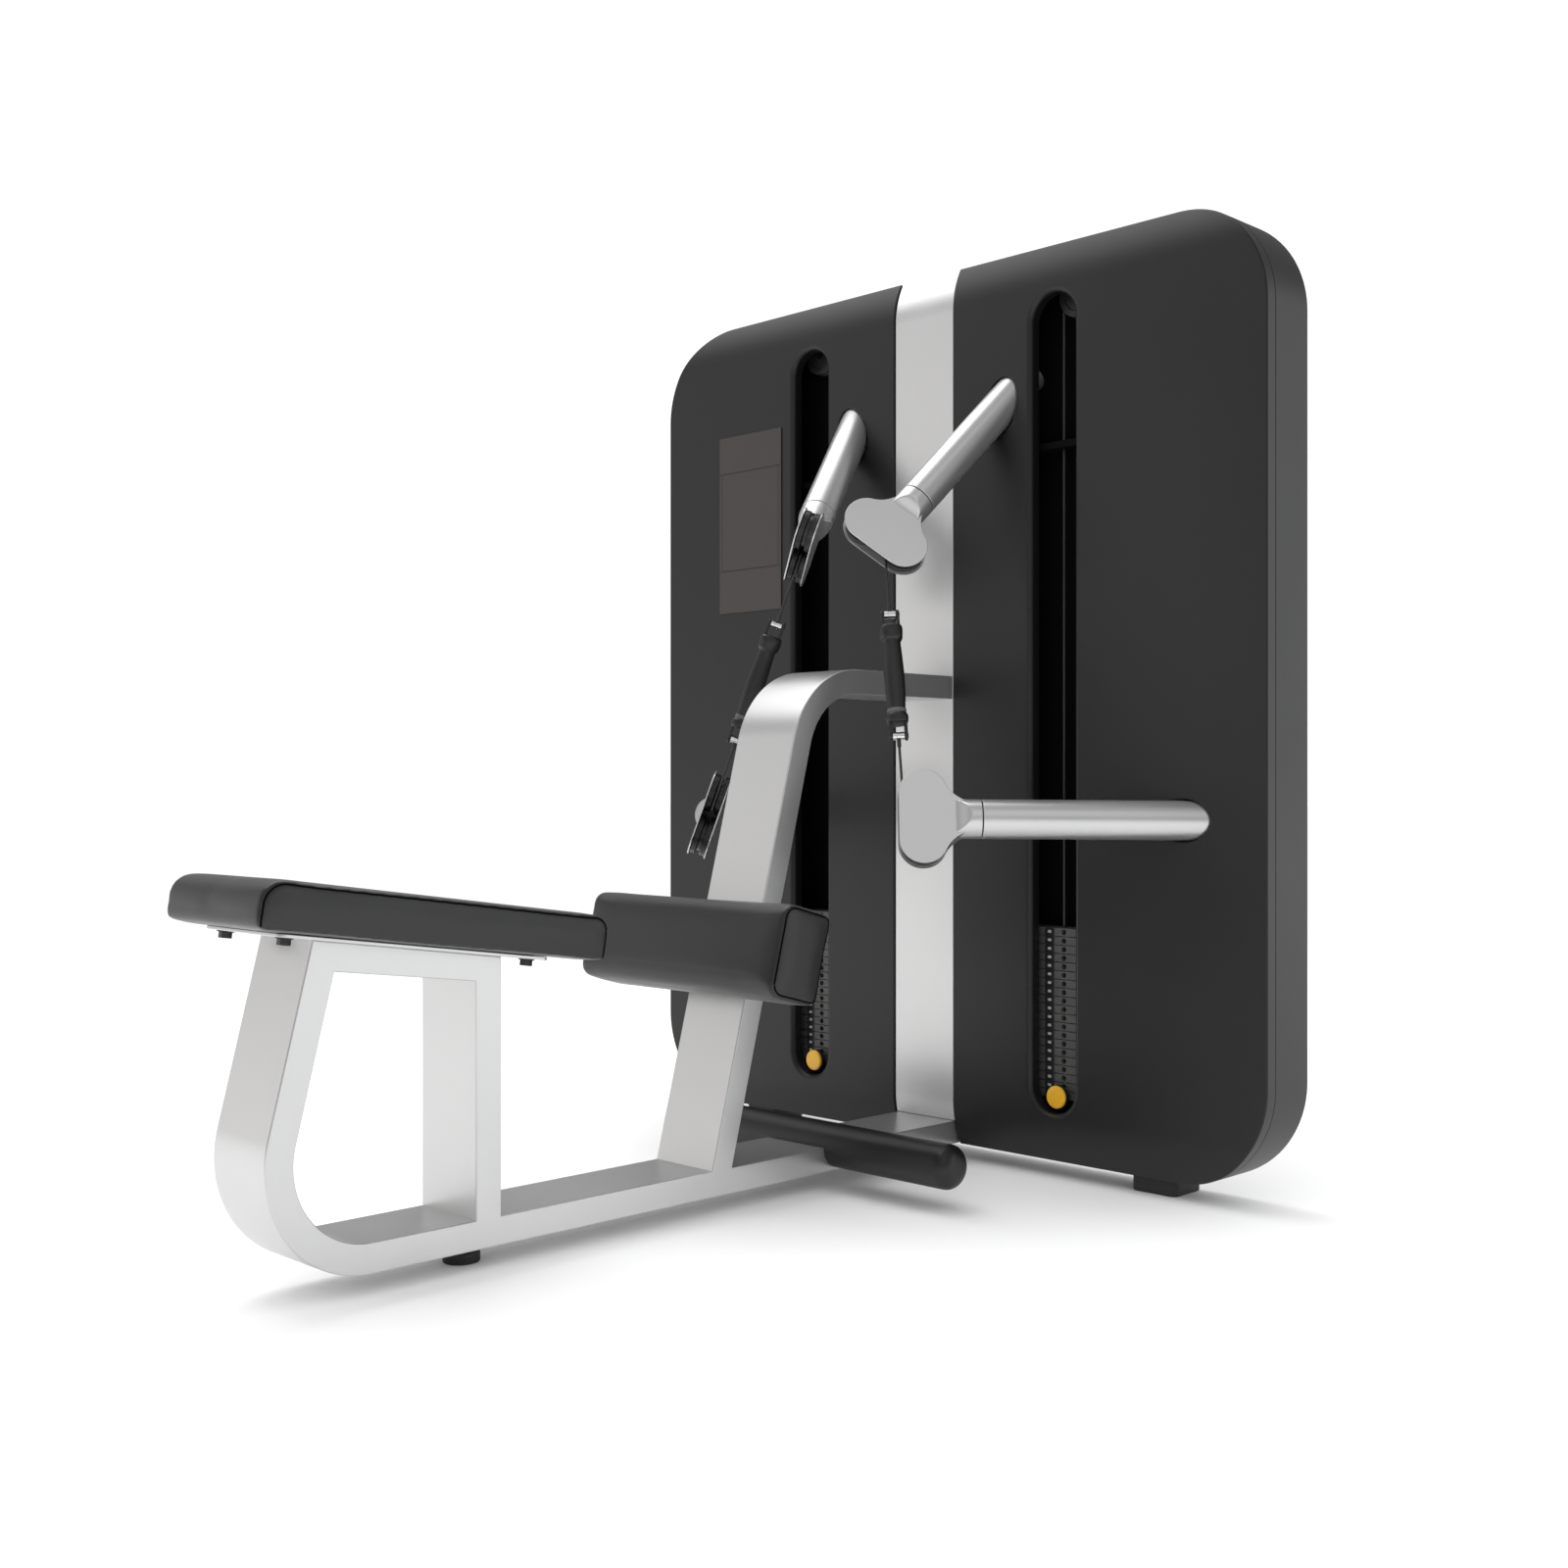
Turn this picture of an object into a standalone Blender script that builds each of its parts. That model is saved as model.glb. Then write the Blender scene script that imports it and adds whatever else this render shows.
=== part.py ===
"""Seated cable row and pulldown station with twin weight stacks.

A flat rounded tower stands across the machine. Four tubular arms leave its front and carry swivelling
pulley heads; a taut cable with a handle runs between the upper and the lower head on each side. A bench
frame of flat rectangular tube runs out along the middle. All sizes are in metres, Z is up, the tower faces
-Y, and the world origin lies on the floor under the middle of the machine's box. The shapes are modelled
from the tower's front face, which the empty 'station_datum' carries to its place.
"""
import bmesh
import bpy
from math import atan, cos, pi, radians, sin, sqrt, tan
from mathutils import Matrix, Vector

GAP = 0.0003              # clearance that touching pieces keep

# Tower
FRONT_Y = 0.80085         # world y of the tower's front face
TOWER_HALF = 0.887
TOWER_BOTTOM = 0.038
TOWER_TOP = 2.042
TOWER_DEPTH = 0.165
CORNER_RADIUS = 0.22
CORNER_STEPS = 9
SEAM_Y = 0.030            # where the front shells end and the rear cover starts
ROLL_RADIUS = 0.21        # the front rolls back along its top and bottom edges
ROLL_HEIGHT = 0.102
WALL = 0.004
STRIP_HALF = 0.0875
STRIP_RECESS = 0.003
SHELL_INNER_EDGE = 0.0895
SLOT_X = 0.367
SLOT_HALF = 0.057
SLOT_BOTTOM = 0.1447
SLOT_TOP = 1.931
SLOT_LINER = 0.003
PLATE_FRONT = 0.105       # front face of the steel plate that carries everything
PLATE_BACK = 0.121
TOWER_FOOT = ((0.535, 0.05), (0.645, 0.155))

# Arms and pulley heads: centre of each right-hand head, and where its arm leaves the tower front
ARM_RADIUS = 0.0405
ARM_BORE = 0.036
UPPER_HEAD = Vector((0.123, -0.270, 1.397))
UPPER_ROOT = Vector((0.223, 0.0, 1.700))
LOWER_HEAD = Vector((0.320, -0.375, 0.791))
LOWER_ROOT = Vector((0.693, 0.0, 0.7875))
SEAM_DISTANCE = 0.118     # from head centre to the swivel seam
SEAM_GAP = 0.002
CHEEK_LOBE = 0.050        # radius of a cheek's two lobes, and half the distance between them
CHEEK_OUTER = 0.0215
CHEEK_INNER = 0.0185
PULLEY_RIM = 0.045
PULLEY_GROOVE = 0.036
PULLEY_HALF = 0.017
GROOVE_HALF = 0.0105
AXLE_RADIUS = 0.006
SEGMENTS = 20

# Cables and handles
CABLE_RADIUS = 0.00275
CABLE_REACH = 0.040       # from a pulley's centre to the middle of the cable
UPPER_TAIL = 0.015        # cable kept inside the head beyond the pulley
LOWER_TAIL = 0.036
HANDLE_Z = 1.0915
PIN_DISTANCE = 0.138      # from the middle of the handle to each pin
PIN_RADIUS = 0.0085
PIN_HALF = 0.0132

# Weight stacks
PLATE_COUNT = 20
PLATE_PITCH = 0.0188
PLATE_SPLIT = 0.0006
STACK_FRONT = 0.043
STACK_BACK = 0.098
STACK_HALF = 0.120
STACK_BASE = 0.1706
HOLE_RADIUS = 0.0055
STACK_CABLE_X = 0.349
STACK_CABLE_Y = 0.070
STACK_CABLE_RADIUS = 0.004
TOP_PULLEY_Z = 1.930
TOP_PULLEY_RADIUS = 0.040
SHELF = 1.600             # underside of the shelf that holds the guide rods' upper ends
ROD_RADIUS = 0.007
ROD_OFFSET = 0.130

# Bench
TUBE_HALF = 0.085         # half the width of every bench tube, along X
TUBE = 0.053              # depth of the tubes in side view
BAR_TOP = 0.0916
BAR_BOTTOM = 0.0389
BEND = 0.200              # outer radius of the two big bends
BEND_STEPS = 12
TAIL_CENTRE = (-1.517, 0.2389)
TAIL_SLOPE = 0.253        # y gained for each metre of height
COLUMN_Y = -0.742         # front face of the inclined column at the base bar's top
COLUMN_SLOPE = 0.2657
COLUMN_TOP = 1.109
POST = (-1.308, -1.254)
SEAT_FRONT = (-1.178, 0.544)   # underside of the seat plate at its tower end
SEAT_SLOPE = 0.140
SEAT_PLATE = (0.125, 0.540, 0.006)
SEAT_PAD = (0.160, 0.707, 0.086)
SEAT_PAD_OVERHANG = 0.108
KNEE_PAD = (0.294, 0.138, 0.190)
KNEE_PAD_Z = 0.514
ROLLER = (-0.377, 0.091, 0.046, 0.415)
BENCH_FOOT_Y = -1.281
BENCH_FOOT_RADIUS = 0.034

for old in list(bpy.data.objects):
    bpy.data.objects.remove(old)
parts = bpy.data.collections.new("cable_row_station")
cutters = bpy.data.collections.new("cutters")
for collection in (parts, cutters):
    bpy.context.scene.collection.children.link(collection)
cutters.hide_render = True
datum = bpy.data.objects.new("station_datum", None)
datum.location = (0, FRONT_Y, 0)
parts.objects.link(datum)


def material(name, colour, roughness, metallic=0.0):
    made = bpy.data.materials.new(name)
    made.use_nodes = True
    shader = made.node_tree.nodes["Principled BSDF"]
    shader.inputs["Base Color"].default_value = (*colour, 1)
    shader.inputs["Roughness"].default_value = roughness
    shader.inputs["Metallic"].default_value = metallic
    return made


SHELL = material("charcoal_shell", (0.035, 0.035, 0.036), 0.45)
SILVER = material("silver_paint", (0.55, 0.55, 0.54), 0.35, 0.6)
BLACK = material("black_plastic", (0.012, 0.012, 0.012), 0.4)
STEEL = material("bright_steel", (0.6, 0.6, 0.6), 0.25, 1.0)
LEATHER = material("black_leather", (0.03, 0.03, 0.031), 0.5)
YELLOW = material("yellow_plastic", (0.75, 0.45, 0.02), 0.35)
SCREEN = material("dark_panel", (0.03, 0.025, 0.022), 0.15)
IRON = material("plate_iron", (0.05, 0.05, 0.05), 0.45, 0.3)
RUBBER = material("black_rubber", (0.02, 0.02, 0.02), 0.7)


def add(name, mesh, finish, matrix=None):
    """An object for a node, from a mesh in the station's own frame or in the frame of matrix."""
    mesh.name = name
    mesh.materials.clear()
    mesh.materials.append(finish)
    made = bpy.data.objects.new(name, mesh)
    made.parent = datum
    made.matrix_local = matrix or Matrix.Identity(4)
    parts.objects.link(made)
    mesh.shade_smooth()
    mesh.set_sharp_from_angle(angle=radians(35))
    return made


def combine(target, mesh, operation, matrix=None):
    """Cuts mesh from target, or joins or intersects them, with a live Boolean."""
    helper = bpy.data.objects.new(f"{target.name}_{operation.lower()}_{len(target.modifiers)}", mesh)
    helper.parent = datum
    helper.matrix_local = matrix if matrix is not None else target.matrix_basis.copy()
    helper.hide_render = True
    helper.display_type = "WIRE"
    cutters.objects.link(helper)
    modifier = target.modifiers.new(operation.lower(), "BOOLEAN")
    modifier.operation = operation
    modifier.object = helper
    return helper


def soften(target, width, segments=2, angle=30):
    """Rounds the sharp edges of a piece."""
    bevel = target.modifiers.new("edges", "BEVEL")
    bevel.width = width
    bevel.segments = segments
    bevel.limit_method = "ANGLE"
    bevel.angle_limit = radians(angle)


def block(low, high):
    """A box between two corners."""
    low, high = Vector(low), Vector(high)
    mesh = bpy.data.meshes.new("block")
    work = bmesh.new()
    size = Matrix.Diagonal((*(high - low), 1))
    bmesh.ops.create_cube(work, size=1, matrix=Matrix.Translation((low + high) / 2) @ size)
    work.to_mesh(mesh)
    work.free()
    return mesh


def aim(start, direction):
    """A frame at start whose Z runs along direction."""
    return Matrix.Translation(start) @ direction.to_track_quat("Z", "Y").to_matrix().to_4x4()


def rod(start, end, radius, segments=SEGMENTS):
    """A closed cylinder between two points."""
    start, end = Vector(start), Vector(end)
    mesh = bpy.data.meshes.new("rod")
    work = bmesh.new()
    bmesh.ops.create_cone(
        work, cap_ends=True, segments=segments, radius1=radius, radius2=radius,
        depth=(end - start).length, matrix=aim((start + end) / 2, end - start),
    )
    work.to_mesh(mesh)
    work.free()
    return mesh


def plain(obj):
    """The evaluated mesh of a helper object, which is then removed."""
    bpy.context.scene.collection.objects.link(obj)
    graph = bpy.context.evaluated_depsgraph_get()
    mesh = bpy.data.meshes.new_from_object(obj.evaluated_get(graph))
    work = bmesh.new()
    work.from_mesh(mesh)
    bmesh.ops.remove_doubles(work, verts=work.verts, dist=1e-6)
    bmesh.ops.dissolve_limit(work, angle_limit=radians(0.4), verts=work.verts, edges=work.edges)
    bmesh.ops.recalc_face_normals(work, faces=work.faces)
    work.to_mesh(mesh)
    work.free()
    bpy.data.objects.remove(obj)
    return mesh


def prism(outline, low, high, axis="X"):
    """A flat outline pushed along one axis from low to high.

    Along X the outline holds (y, z) points, along Y (x, z) points and along Z (x, y) points.
    """
    curve = bpy.data.curves.new("outline", "CURVE")
    curve.dimensions = "2D"
    curve.fill_mode = "BOTH"
    curve.extrude = (high - low) / 2
    spline = curve.splines.new("POLY")
    spline.points.add(len(outline) - 1)
    for point, (u, v) in zip(spline.points, outline):
        point.co = (u, v, 0, 1)
    spline.use_cyclic_u = True
    mesh = plain(bpy.data.objects.new("outline", curve))
    turn = {
        "X": Matrix(((0, 0, 1, 0), (1, 0, 0, 0), (0, 1, 0, 0), (0, 0, 0, 1))),
        "Y": Matrix(((1, 0, 0, 0), (0, 0, -1, 0), (0, 1, 0, 0), (0, 0, 0, 1))),
        "Z": Matrix.Identity(4),
    }[axis]
    middle = (low + high) / 2
    mesh.transform(turn @ Matrix.Translation((0, 0, -middle if axis == "Y" else middle)))
    return mesh


def turned(profile, segments=SEGMENTS, closed=False):
    """A profile of (radius, height) points turned about Z."""
    mesh = bpy.data.meshes.new("profile")
    edges = [(i, i + 1) for i in range(len(profile) - 1)]
    if closed:
        edges.append((len(profile) - 1, 0))
    mesh.from_pydata([(r, 0, z) for r, z in profile], edges, [])
    helper = bpy.data.objects.new("profile", mesh)
    screw = helper.modifiers.new("turn", "SCREW")
    screw.steps = segments
    screw.render_steps = segments
    screw.use_merge_vertices = True
    screw.merge_threshold = 0.0001
    return plain(helper)


def arc(centre, radius, start, end, steps):
    """Points on a circle between two angles in degrees."""
    return [
        (centre[0] + radius * cos(radians(start + (end - start) * i / steps)),
         centre[1] + radius * sin(radians(start + (end - start) * i / steps)))
        for i in range(steps + 1)
    ]


def rounded_rectangle(inset=0.0):
    """The tower's outline, (x, z), drawn in by inset."""
    radius = CORNER_RADIUS - inset
    x = TOWER_HALF - CORNER_RADIUS
    low, high = TOWER_BOTTOM + CORNER_RADIUS, TOWER_TOP - CORNER_RADIUS
    return (
        arc((x, low), radius, -90, 0, CORNER_STEPS) + arc((x, high), radius, 0, 90, CORNER_STEPS)
        + arc((-x, high), radius, 90, 180, CORNER_STEPS) + arc((-x, low), radius, 180, 270, CORNER_STEPS)
    )


def roll(z):
    """How far the front surface has rolled back at height z."""
    into = max(TOWER_BOTTOM + ROLL_HEIGHT - z, z - (TOWER_TOP - ROLL_HEIGHT), 0)
    return ROLL_RADIUS - sqrt(ROLL_RADIUS**2 - min(into, ROLL_HEIGHT) ** 2)


def front_line(low, high, offset=0.0):
    """Points (y, z) up the front surface, closer together where it rolls back."""
    steps = [ROLL_HEIGHT * i / 5 for i in range(6)]
    heights = [TOWER_BOTTOM + s for s in steps] + [TOWER_TOP - s for s in reversed(steps)]
    inside = [z for z in heights if low < z < high]
    return [(roll(z) + offset, z) for z in [low, *inside, high]]


def stadium(margin=0.0):
    """The weight window's outline, (x, z), on the right-hand side."""
    radius = SLOT_HALF + margin
    low, high = SLOT_BOTTOM + SLOT_HALF, SLOT_TOP - SLOT_HALF
    return arc((SLOT_X, low), radius, 180, 360, 12) + arc((SLOT_X, high), radius, 0, 180, 12)


def mirrored(outline, side):
    return [(u * side, v) for u, v in outline]


def mirror(point, side):
    return Vector((point.x * side, point.y, point.z))


def heads_of(side):
    """Centre and outward direction of the upper and the lower pulley head on one side."""
    found = {}
    for level, centre, root in (("upper", UPPER_HEAD, UPPER_ROOT), ("lower", LOWER_HEAD, LOWER_ROOT)):
        found[level] = (mirror(centre, side), mirror(centre - root, side).normalized())
    return found


def cable_line(heads):
    """Start and end of the straight cable, where it crosses the two arm axes.

    The line lies in the plane of both heads and passes each guiding pulley at CABLE_REACH.
    """
    (upper, upper_tip), (lower, lower_tip) = heads["upper"], heads["lower"]
    reach_upper = reach_lower = 0.0
    for _ in range(25):
        start, end = upper + upper_tip * reach_upper, lower + lower_tip * reach_lower
        along = (end - start).normalized()
        cosine = upper_tip.dot(along)
        reach_upper = (CABLE_REACH - CHEEK_LOBE * cosine) / sqrt(1 - cosine**2)
        cosine = -lower_tip.dot(along)
        reach_lower = (CABLE_REACH - CHEEK_LOBE * cosine) / sqrt(1 - cosine**2)
    return start, end


def head_frame(centre, tip, cable):
    """Axes of a head: X out of the arm, Y towards the pulley that guides the cable, Z across the cheeks."""
    across = tip.cross(cable).normalized()
    upward = across.cross(tip)
    return Matrix((
        (tip.x, upward.x, across.x, centre.x),
        (tip.y, upward.y, across.y, centre.y),
        (tip.z, upward.z, across.z, centre.z),
        (0, 0, 0, 1),
    ))


def make_shell(name, side):
    """One hollow half of the tower front, with its weight window and two arm holes."""
    shell = add(name, prism(rounded_rectangle(), -0.02, SEAM_Y, "Y"), SHELL)
    front = front_line(-0.1, 2.2)
    combine(shell, prism(front + [(0.3, 2.2), (0.3, -0.1)], -1, 1), "INTERSECT")
    hollow = combine(shell, prism(rounded_rectangle(WALL), 0, 0.06, "Y"), "DIFFERENCE")
    inner = front_line(-0.1, 2.2, WALL)
    combine(hollow, prism(inner + [(0.3, 2.2), (0.3, -0.1)], -1, 1), "INTERSECT")
    combine(hollow, prism(mirrored(stadium(SLOT_LINER), side), -0.01, 0.08, "Y"), "DIFFERENCE")
    edge = side * SHELL_INNER_EDGE
    beyond = -side * 1.2
    combine(shell, block((min(edge, beyond), -0.1, -0.1), (max(edge, beyond), 0.1, 2.2)), "DIFFERENCE")
    combine(shell, prism(mirrored(stadium(), side), -0.02, 0.05, "Y"), "DIFFERENCE")
    for centre, tip in heads_of(side).values():
        far = centre - tip * 0.9
        combine(shell, rod(centre, far, ARM_RADIUS + 0.002, 28), "DIFFERENCE")


def make_rear_cover():
    cover = add("rear_cover", prism(rounded_rectangle(), SEAM_Y + GAP, TOWER_DEPTH, "Y"), SHELL)
    combine(cover, prism(rounded_rectangle(WALL), 0, TOWER_DEPTH - WALL, "Y"), "DIFFERENCE")
    notch = TUBE_HALF + 0.001
    combine(cover, block((-notch, 0, 0), (notch, PLATE_FRONT, BAR_TOP + 0.001)), "DIFFERENCE")
    notch = STRIP_HALF + 0.001
    high = block((-notch, 0, TOWER_TOP - 0.02), (notch, SEAM_Y + 0.005, TOWER_TOP + 0.1))
    combine(cover, high, "DIFFERENCE")
    for side in (-1, 1):
        (x0, y0), (x1, y1) = TOWER_FOOT
        feet = sorted((side * x0, side * x1))
        name = "left_base_foot" if side < 0 else "right_base_foot"
        foot = add(name, block((feet[0], y0, 0), (feet[1], y1, TOWER_BOTTOM - GAP)), RUBBER)
        soften(foot, 0.006)


def make_strip():
    """The bright cover up the middle of the tower, which follows the roll of the front."""
    low, high = BAR_TOP + 0.001, TOWER_TOP - 0.001
    face = front_line(low, high, STRIP_RECESS)
    back = [(y + 0.003, z) for y, z in reversed(face)]
    add("column_strip", prism(face + back, -STRIP_HALF, STRIP_HALF), SILVER)


def make_placard():
    """A thin blank instruction panel on the left shell."""
    panel = add("placard_panel", block((-0.690, -0.0025, 1.301), (-0.463, -GAP, 1.755)), SCREEN)
    soften(panel, 0.001, 1)


def make_frame_plate():
    """The steel plate behind the covers, with shelves for the stacks and a stud for each top pulley."""
    plate = add("frame_plate", prism(rounded_rectangle(0.012), PLATE_FRONT, PLATE_BACK, "Y"), BLACK)
    for side in (-1, 1):
        for low, high in ((0.150, STACK_BASE - GAP), (SHELF, SHELF + 0.015)):
            ends = sorted((side * (SLOT_X - 0.15), side * (SLOT_X + 0.15)))
            shelf = block((ends[0], STACK_FRONT, low), (ends[1], PLATE_FRONT + 0.005, high))
            combine(plate, shelf, "UNION")
        x = side * (STACK_CABLE_X + TOP_PULLEY_RADIUS)
        stud = rod((x, STACK_CABLE_Y - 0.012, TOP_PULLEY_Z), (x, PLATE_FRONT + 0.005, TOP_PULLEY_Z), 0.006, 12)
        combine(plate, stud, "UNION")
        way = side * STACK_CABLE_X
        hole = rod((way, STACK_CABLE_Y, SHELF - 0.05), (way, STACK_CABLE_Y, SHELF + 0.05), 0.009, 12)
        combine(plate, hole, "DIFFERENCE")
        for offset in (-ROD_OFFSET, ROD_OFFSET):
            at = side * SLOT_X + offset
            y = STACK_CABLE_Y
            hole = rod((at, y, SHELF - 0.05), (at, y, SHELF + 0.05), ROD_RADIUS + GAP, 12)
            combine(plate, hole, "DIFFERENCE")


def make_arm(name, centre, tip):
    """A hollow arm from the swivel seam back to the frame plate."""
    start = centre - tip * (SEAM_DISTANCE + SEAM_GAP)
    far = centre - tip * 0.95
    arm = add(name, rod(start, far, ARM_RADIUS, 28), SILVER)
    combine(arm, rod(centre, centre - tip * 1.0, ARM_BORE, 28), "DIFFERENCE")
    combine(arm, block((-2, PLATE_FRONT - GAP, -1), (2, 2, 4)), "DIFFERENCE")


def cheek_outline():
    """A cheek: two round lobes with a straight nose between them and a waist towards the arm."""
    lobe = arc((0, CHEEK_LOBE), CHEEK_LOBE, 0, 150, 12)
    start, bend, end = Vector(lobe[-1]), Vector((-0.055, 0.048)), Vector((-0.088, 0.0385))
    waist = []
    for i in range(1, 6):
        t = i / 5
        waist.append(tuple(start * (1 - t) ** 2 + bend * 2 * t * (1 - t) + end * t**2))
    upper = lobe + waist
    return upper + [(x, -y) for x, y in reversed(upper)]


def neck_mesh():
    """The part of the head that changes from the round collar to the flat cheeks."""
    mesh = bpy.data.meshes.new("neck")
    work = bmesh.new()
    for y, z in arc((0, 0), ARM_RADIUS - 0.0006, 0, 360, 28)[:-1]:
        work.verts.new((-0.088, y, z))
    for y in (-0.040, 0.040):
        for z in (-CHEEK_OUTER + 0.0004, CHEEK_OUTER - 0.0004):
            work.verts.new((-0.050, y, z))
    bmesh.ops.convex_hull(work, input=work.verts)
    bmesh.ops.recalc_face_normals(work, faces=work.faces)
    work.to_mesh(mesh)
    work.free()
    return mesh


def make_head(side_name, level, centre, tip, cable):
    """A swivelling head: fork with two axle studs, and the guiding and the idle pulley."""
    matrix = head_frame(centre, tip, cable)
    fork = add(f"{side_name}_{level}_fork", prism(cheek_outline(), -CHEEK_OUTER, CHEEK_OUTER, "Z"), SILVER, matrix)
    combine(fork, neck_mesh(), "UNION")
    combine(fork, rod((-SEAM_DISTANCE, 0, 0), (-0.0875, 0, 0), ARM_RADIUS, 28), "UNION")
    combine(fork, block((-0.052, -0.12, -CHEEK_INNER), (0.07, 0.12, CHEEK_INNER)), "DIFFERENCE")
    combine(fork, rod((-0.13, 0, 0), (-0.04, 0, 0), 0.008, 12), "DIFFERENCE")
    profile = [
        (AXLE_RADIUS + GAP, -PULLEY_HALF), (PULLEY_RIM, -PULLEY_HALF), (PULLEY_RIM, -PULLEY_HALF + 0.003),
        (PULLEY_GROOVE, -GROOVE_HALF), (PULLEY_GROOVE, GROOVE_HALF), (PULLEY_RIM, PULLEY_HALF - 0.003),
        (PULLEY_RIM, PULLEY_HALF), (AXLE_RADIUS + GAP, PULLEY_HALF),
    ]
    for role, y in (("guide", CHEEK_LOBE), ("idle", -CHEEK_LOBE)):
        stud = rod((0, y, -CHEEK_OUTER + 0.001), (0, y, CHEEK_OUTER - 0.001), AXLE_RADIUS, 12)
        combine(fork, stud, "UNION")
        at = matrix @ Matrix.Translation((0, y, 0))
        add(f"{side_name}_{level}_{role}_pulley", turned(profile, closed=True), BLACK, at)


def make_handle(side_name, middle, upward):
    """A grip with a forked lug and a pin at each end, hung in line with the cable."""
    pin_axis = Vector((1, 1, 0))
    pin_axis = (pin_axis - upward * pin_axis.dot(upward)).normalized()
    depth = upward.cross(pin_axis)
    matrix = Matrix((
        (pin_axis.x, depth.x, upward.x, middle.x),
        (pin_axis.y, depth.y, upward.y, middle.y),
        (pin_axis.z, depth.z, upward.z, middle.z),
        (0, 0, 0, 1),
    ))
    half = [(0.0205, 0.030), (0.0195, 0.080), (0.0250, 0.090), (0.0255, 0.104), (0.0230, 0.112), (0, 0.112)]
    profile = list(reversed(half)) + [(0.0215, 0)] + [(r, -z) for r, z in half]
    handle = add(f"{side_name}_handle", turned(profile), BLACK, matrix)
    for end in (1, -1):
        lug = arc((0, PIN_DISTANCE), 0.0105, 0, 180, 8) + [(-0.0105, 0.100), (0.0105, 0.100)]
        outline = [(y, z * end) for y, z in lug]
        for low, high in ((-0.0195, -0.0135), (0.0135, 0.0195)):
            combine(handle, prism(outline, low, high), "UNION")
        name = f"{side_name}_{'upper' if end > 0 else 'lower'}_pin"
        at = matrix @ Matrix.Translation((0, 0, PIN_DISTANCE * end))
        add(name, rod((-PIN_HALF, 0, 0), (PIN_HALF, 0, 0), PIN_RADIUS, 16), STEEL, at)


def make_cable(name, start, end):
    """A straight run of cable, as a thin capped tube."""
    curve = bpy.data.curves.new(name, "CURVE")
    curve.dimensions = "3D"
    curve.bevel_depth = CABLE_RADIUS
    curve.bevel_resolution = 2
    curve.use_fill_caps = True
    spline = curve.splines.new("POLY")
    spline.points.add(1)
    spline.points[0].co = (*start, 1)
    spline.points[1].co = (*end, 1)
    add(name, plain(bpy.data.objects.new(name, curve)), BLACK)


def make_cable_side(side_name, side):
    """Both heads, both arms, the handle and the two runs of cable on one side."""
    heads = heads_of(side)
    start, end = cable_line(heads)
    along = (end - start).normalized()
    (upper, upper_tip), (lower, lower_tip) = heads["upper"], heads["lower"]
    make_arm(f"{side_name}_upper_arm", upper, upper_tip)
    make_arm(f"{side_name}_lower_arm", lower, lower_tip)
    make_head(side_name, "upper", upper, upper_tip, along)
    make_head(side_name, "lower", lower, lower_tip, -along)
    middle = start + along * ((HANDLE_Z - start.z) / along.z)
    make_handle(side_name, middle, -along)
    ends = {}
    for level, crossing, tip, way in (("upper", start, upper_tip, along), ("lower", end, lower_tip, -along)):
        cosine = tip.dot(way)
        sine = sqrt(1 - cosine**2)
        reach = (CABLE_REACH - CHEEK_LOBE * cosine) / sine
        ends[level] = crossing + way * (CHEEK_LOBE * sine - reach * cosine)
    clear = PIN_DISTANCE + PIN_RADIUS + GAP
    make_cable(f"{side_name}_upper_cable", ends["upper"] - along * UPPER_TAIL, middle - along * clear)
    make_cable(f"{side_name}_lower_cable", middle + along * clear, ends["lower"] + along * LOWER_TAIL)


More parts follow.
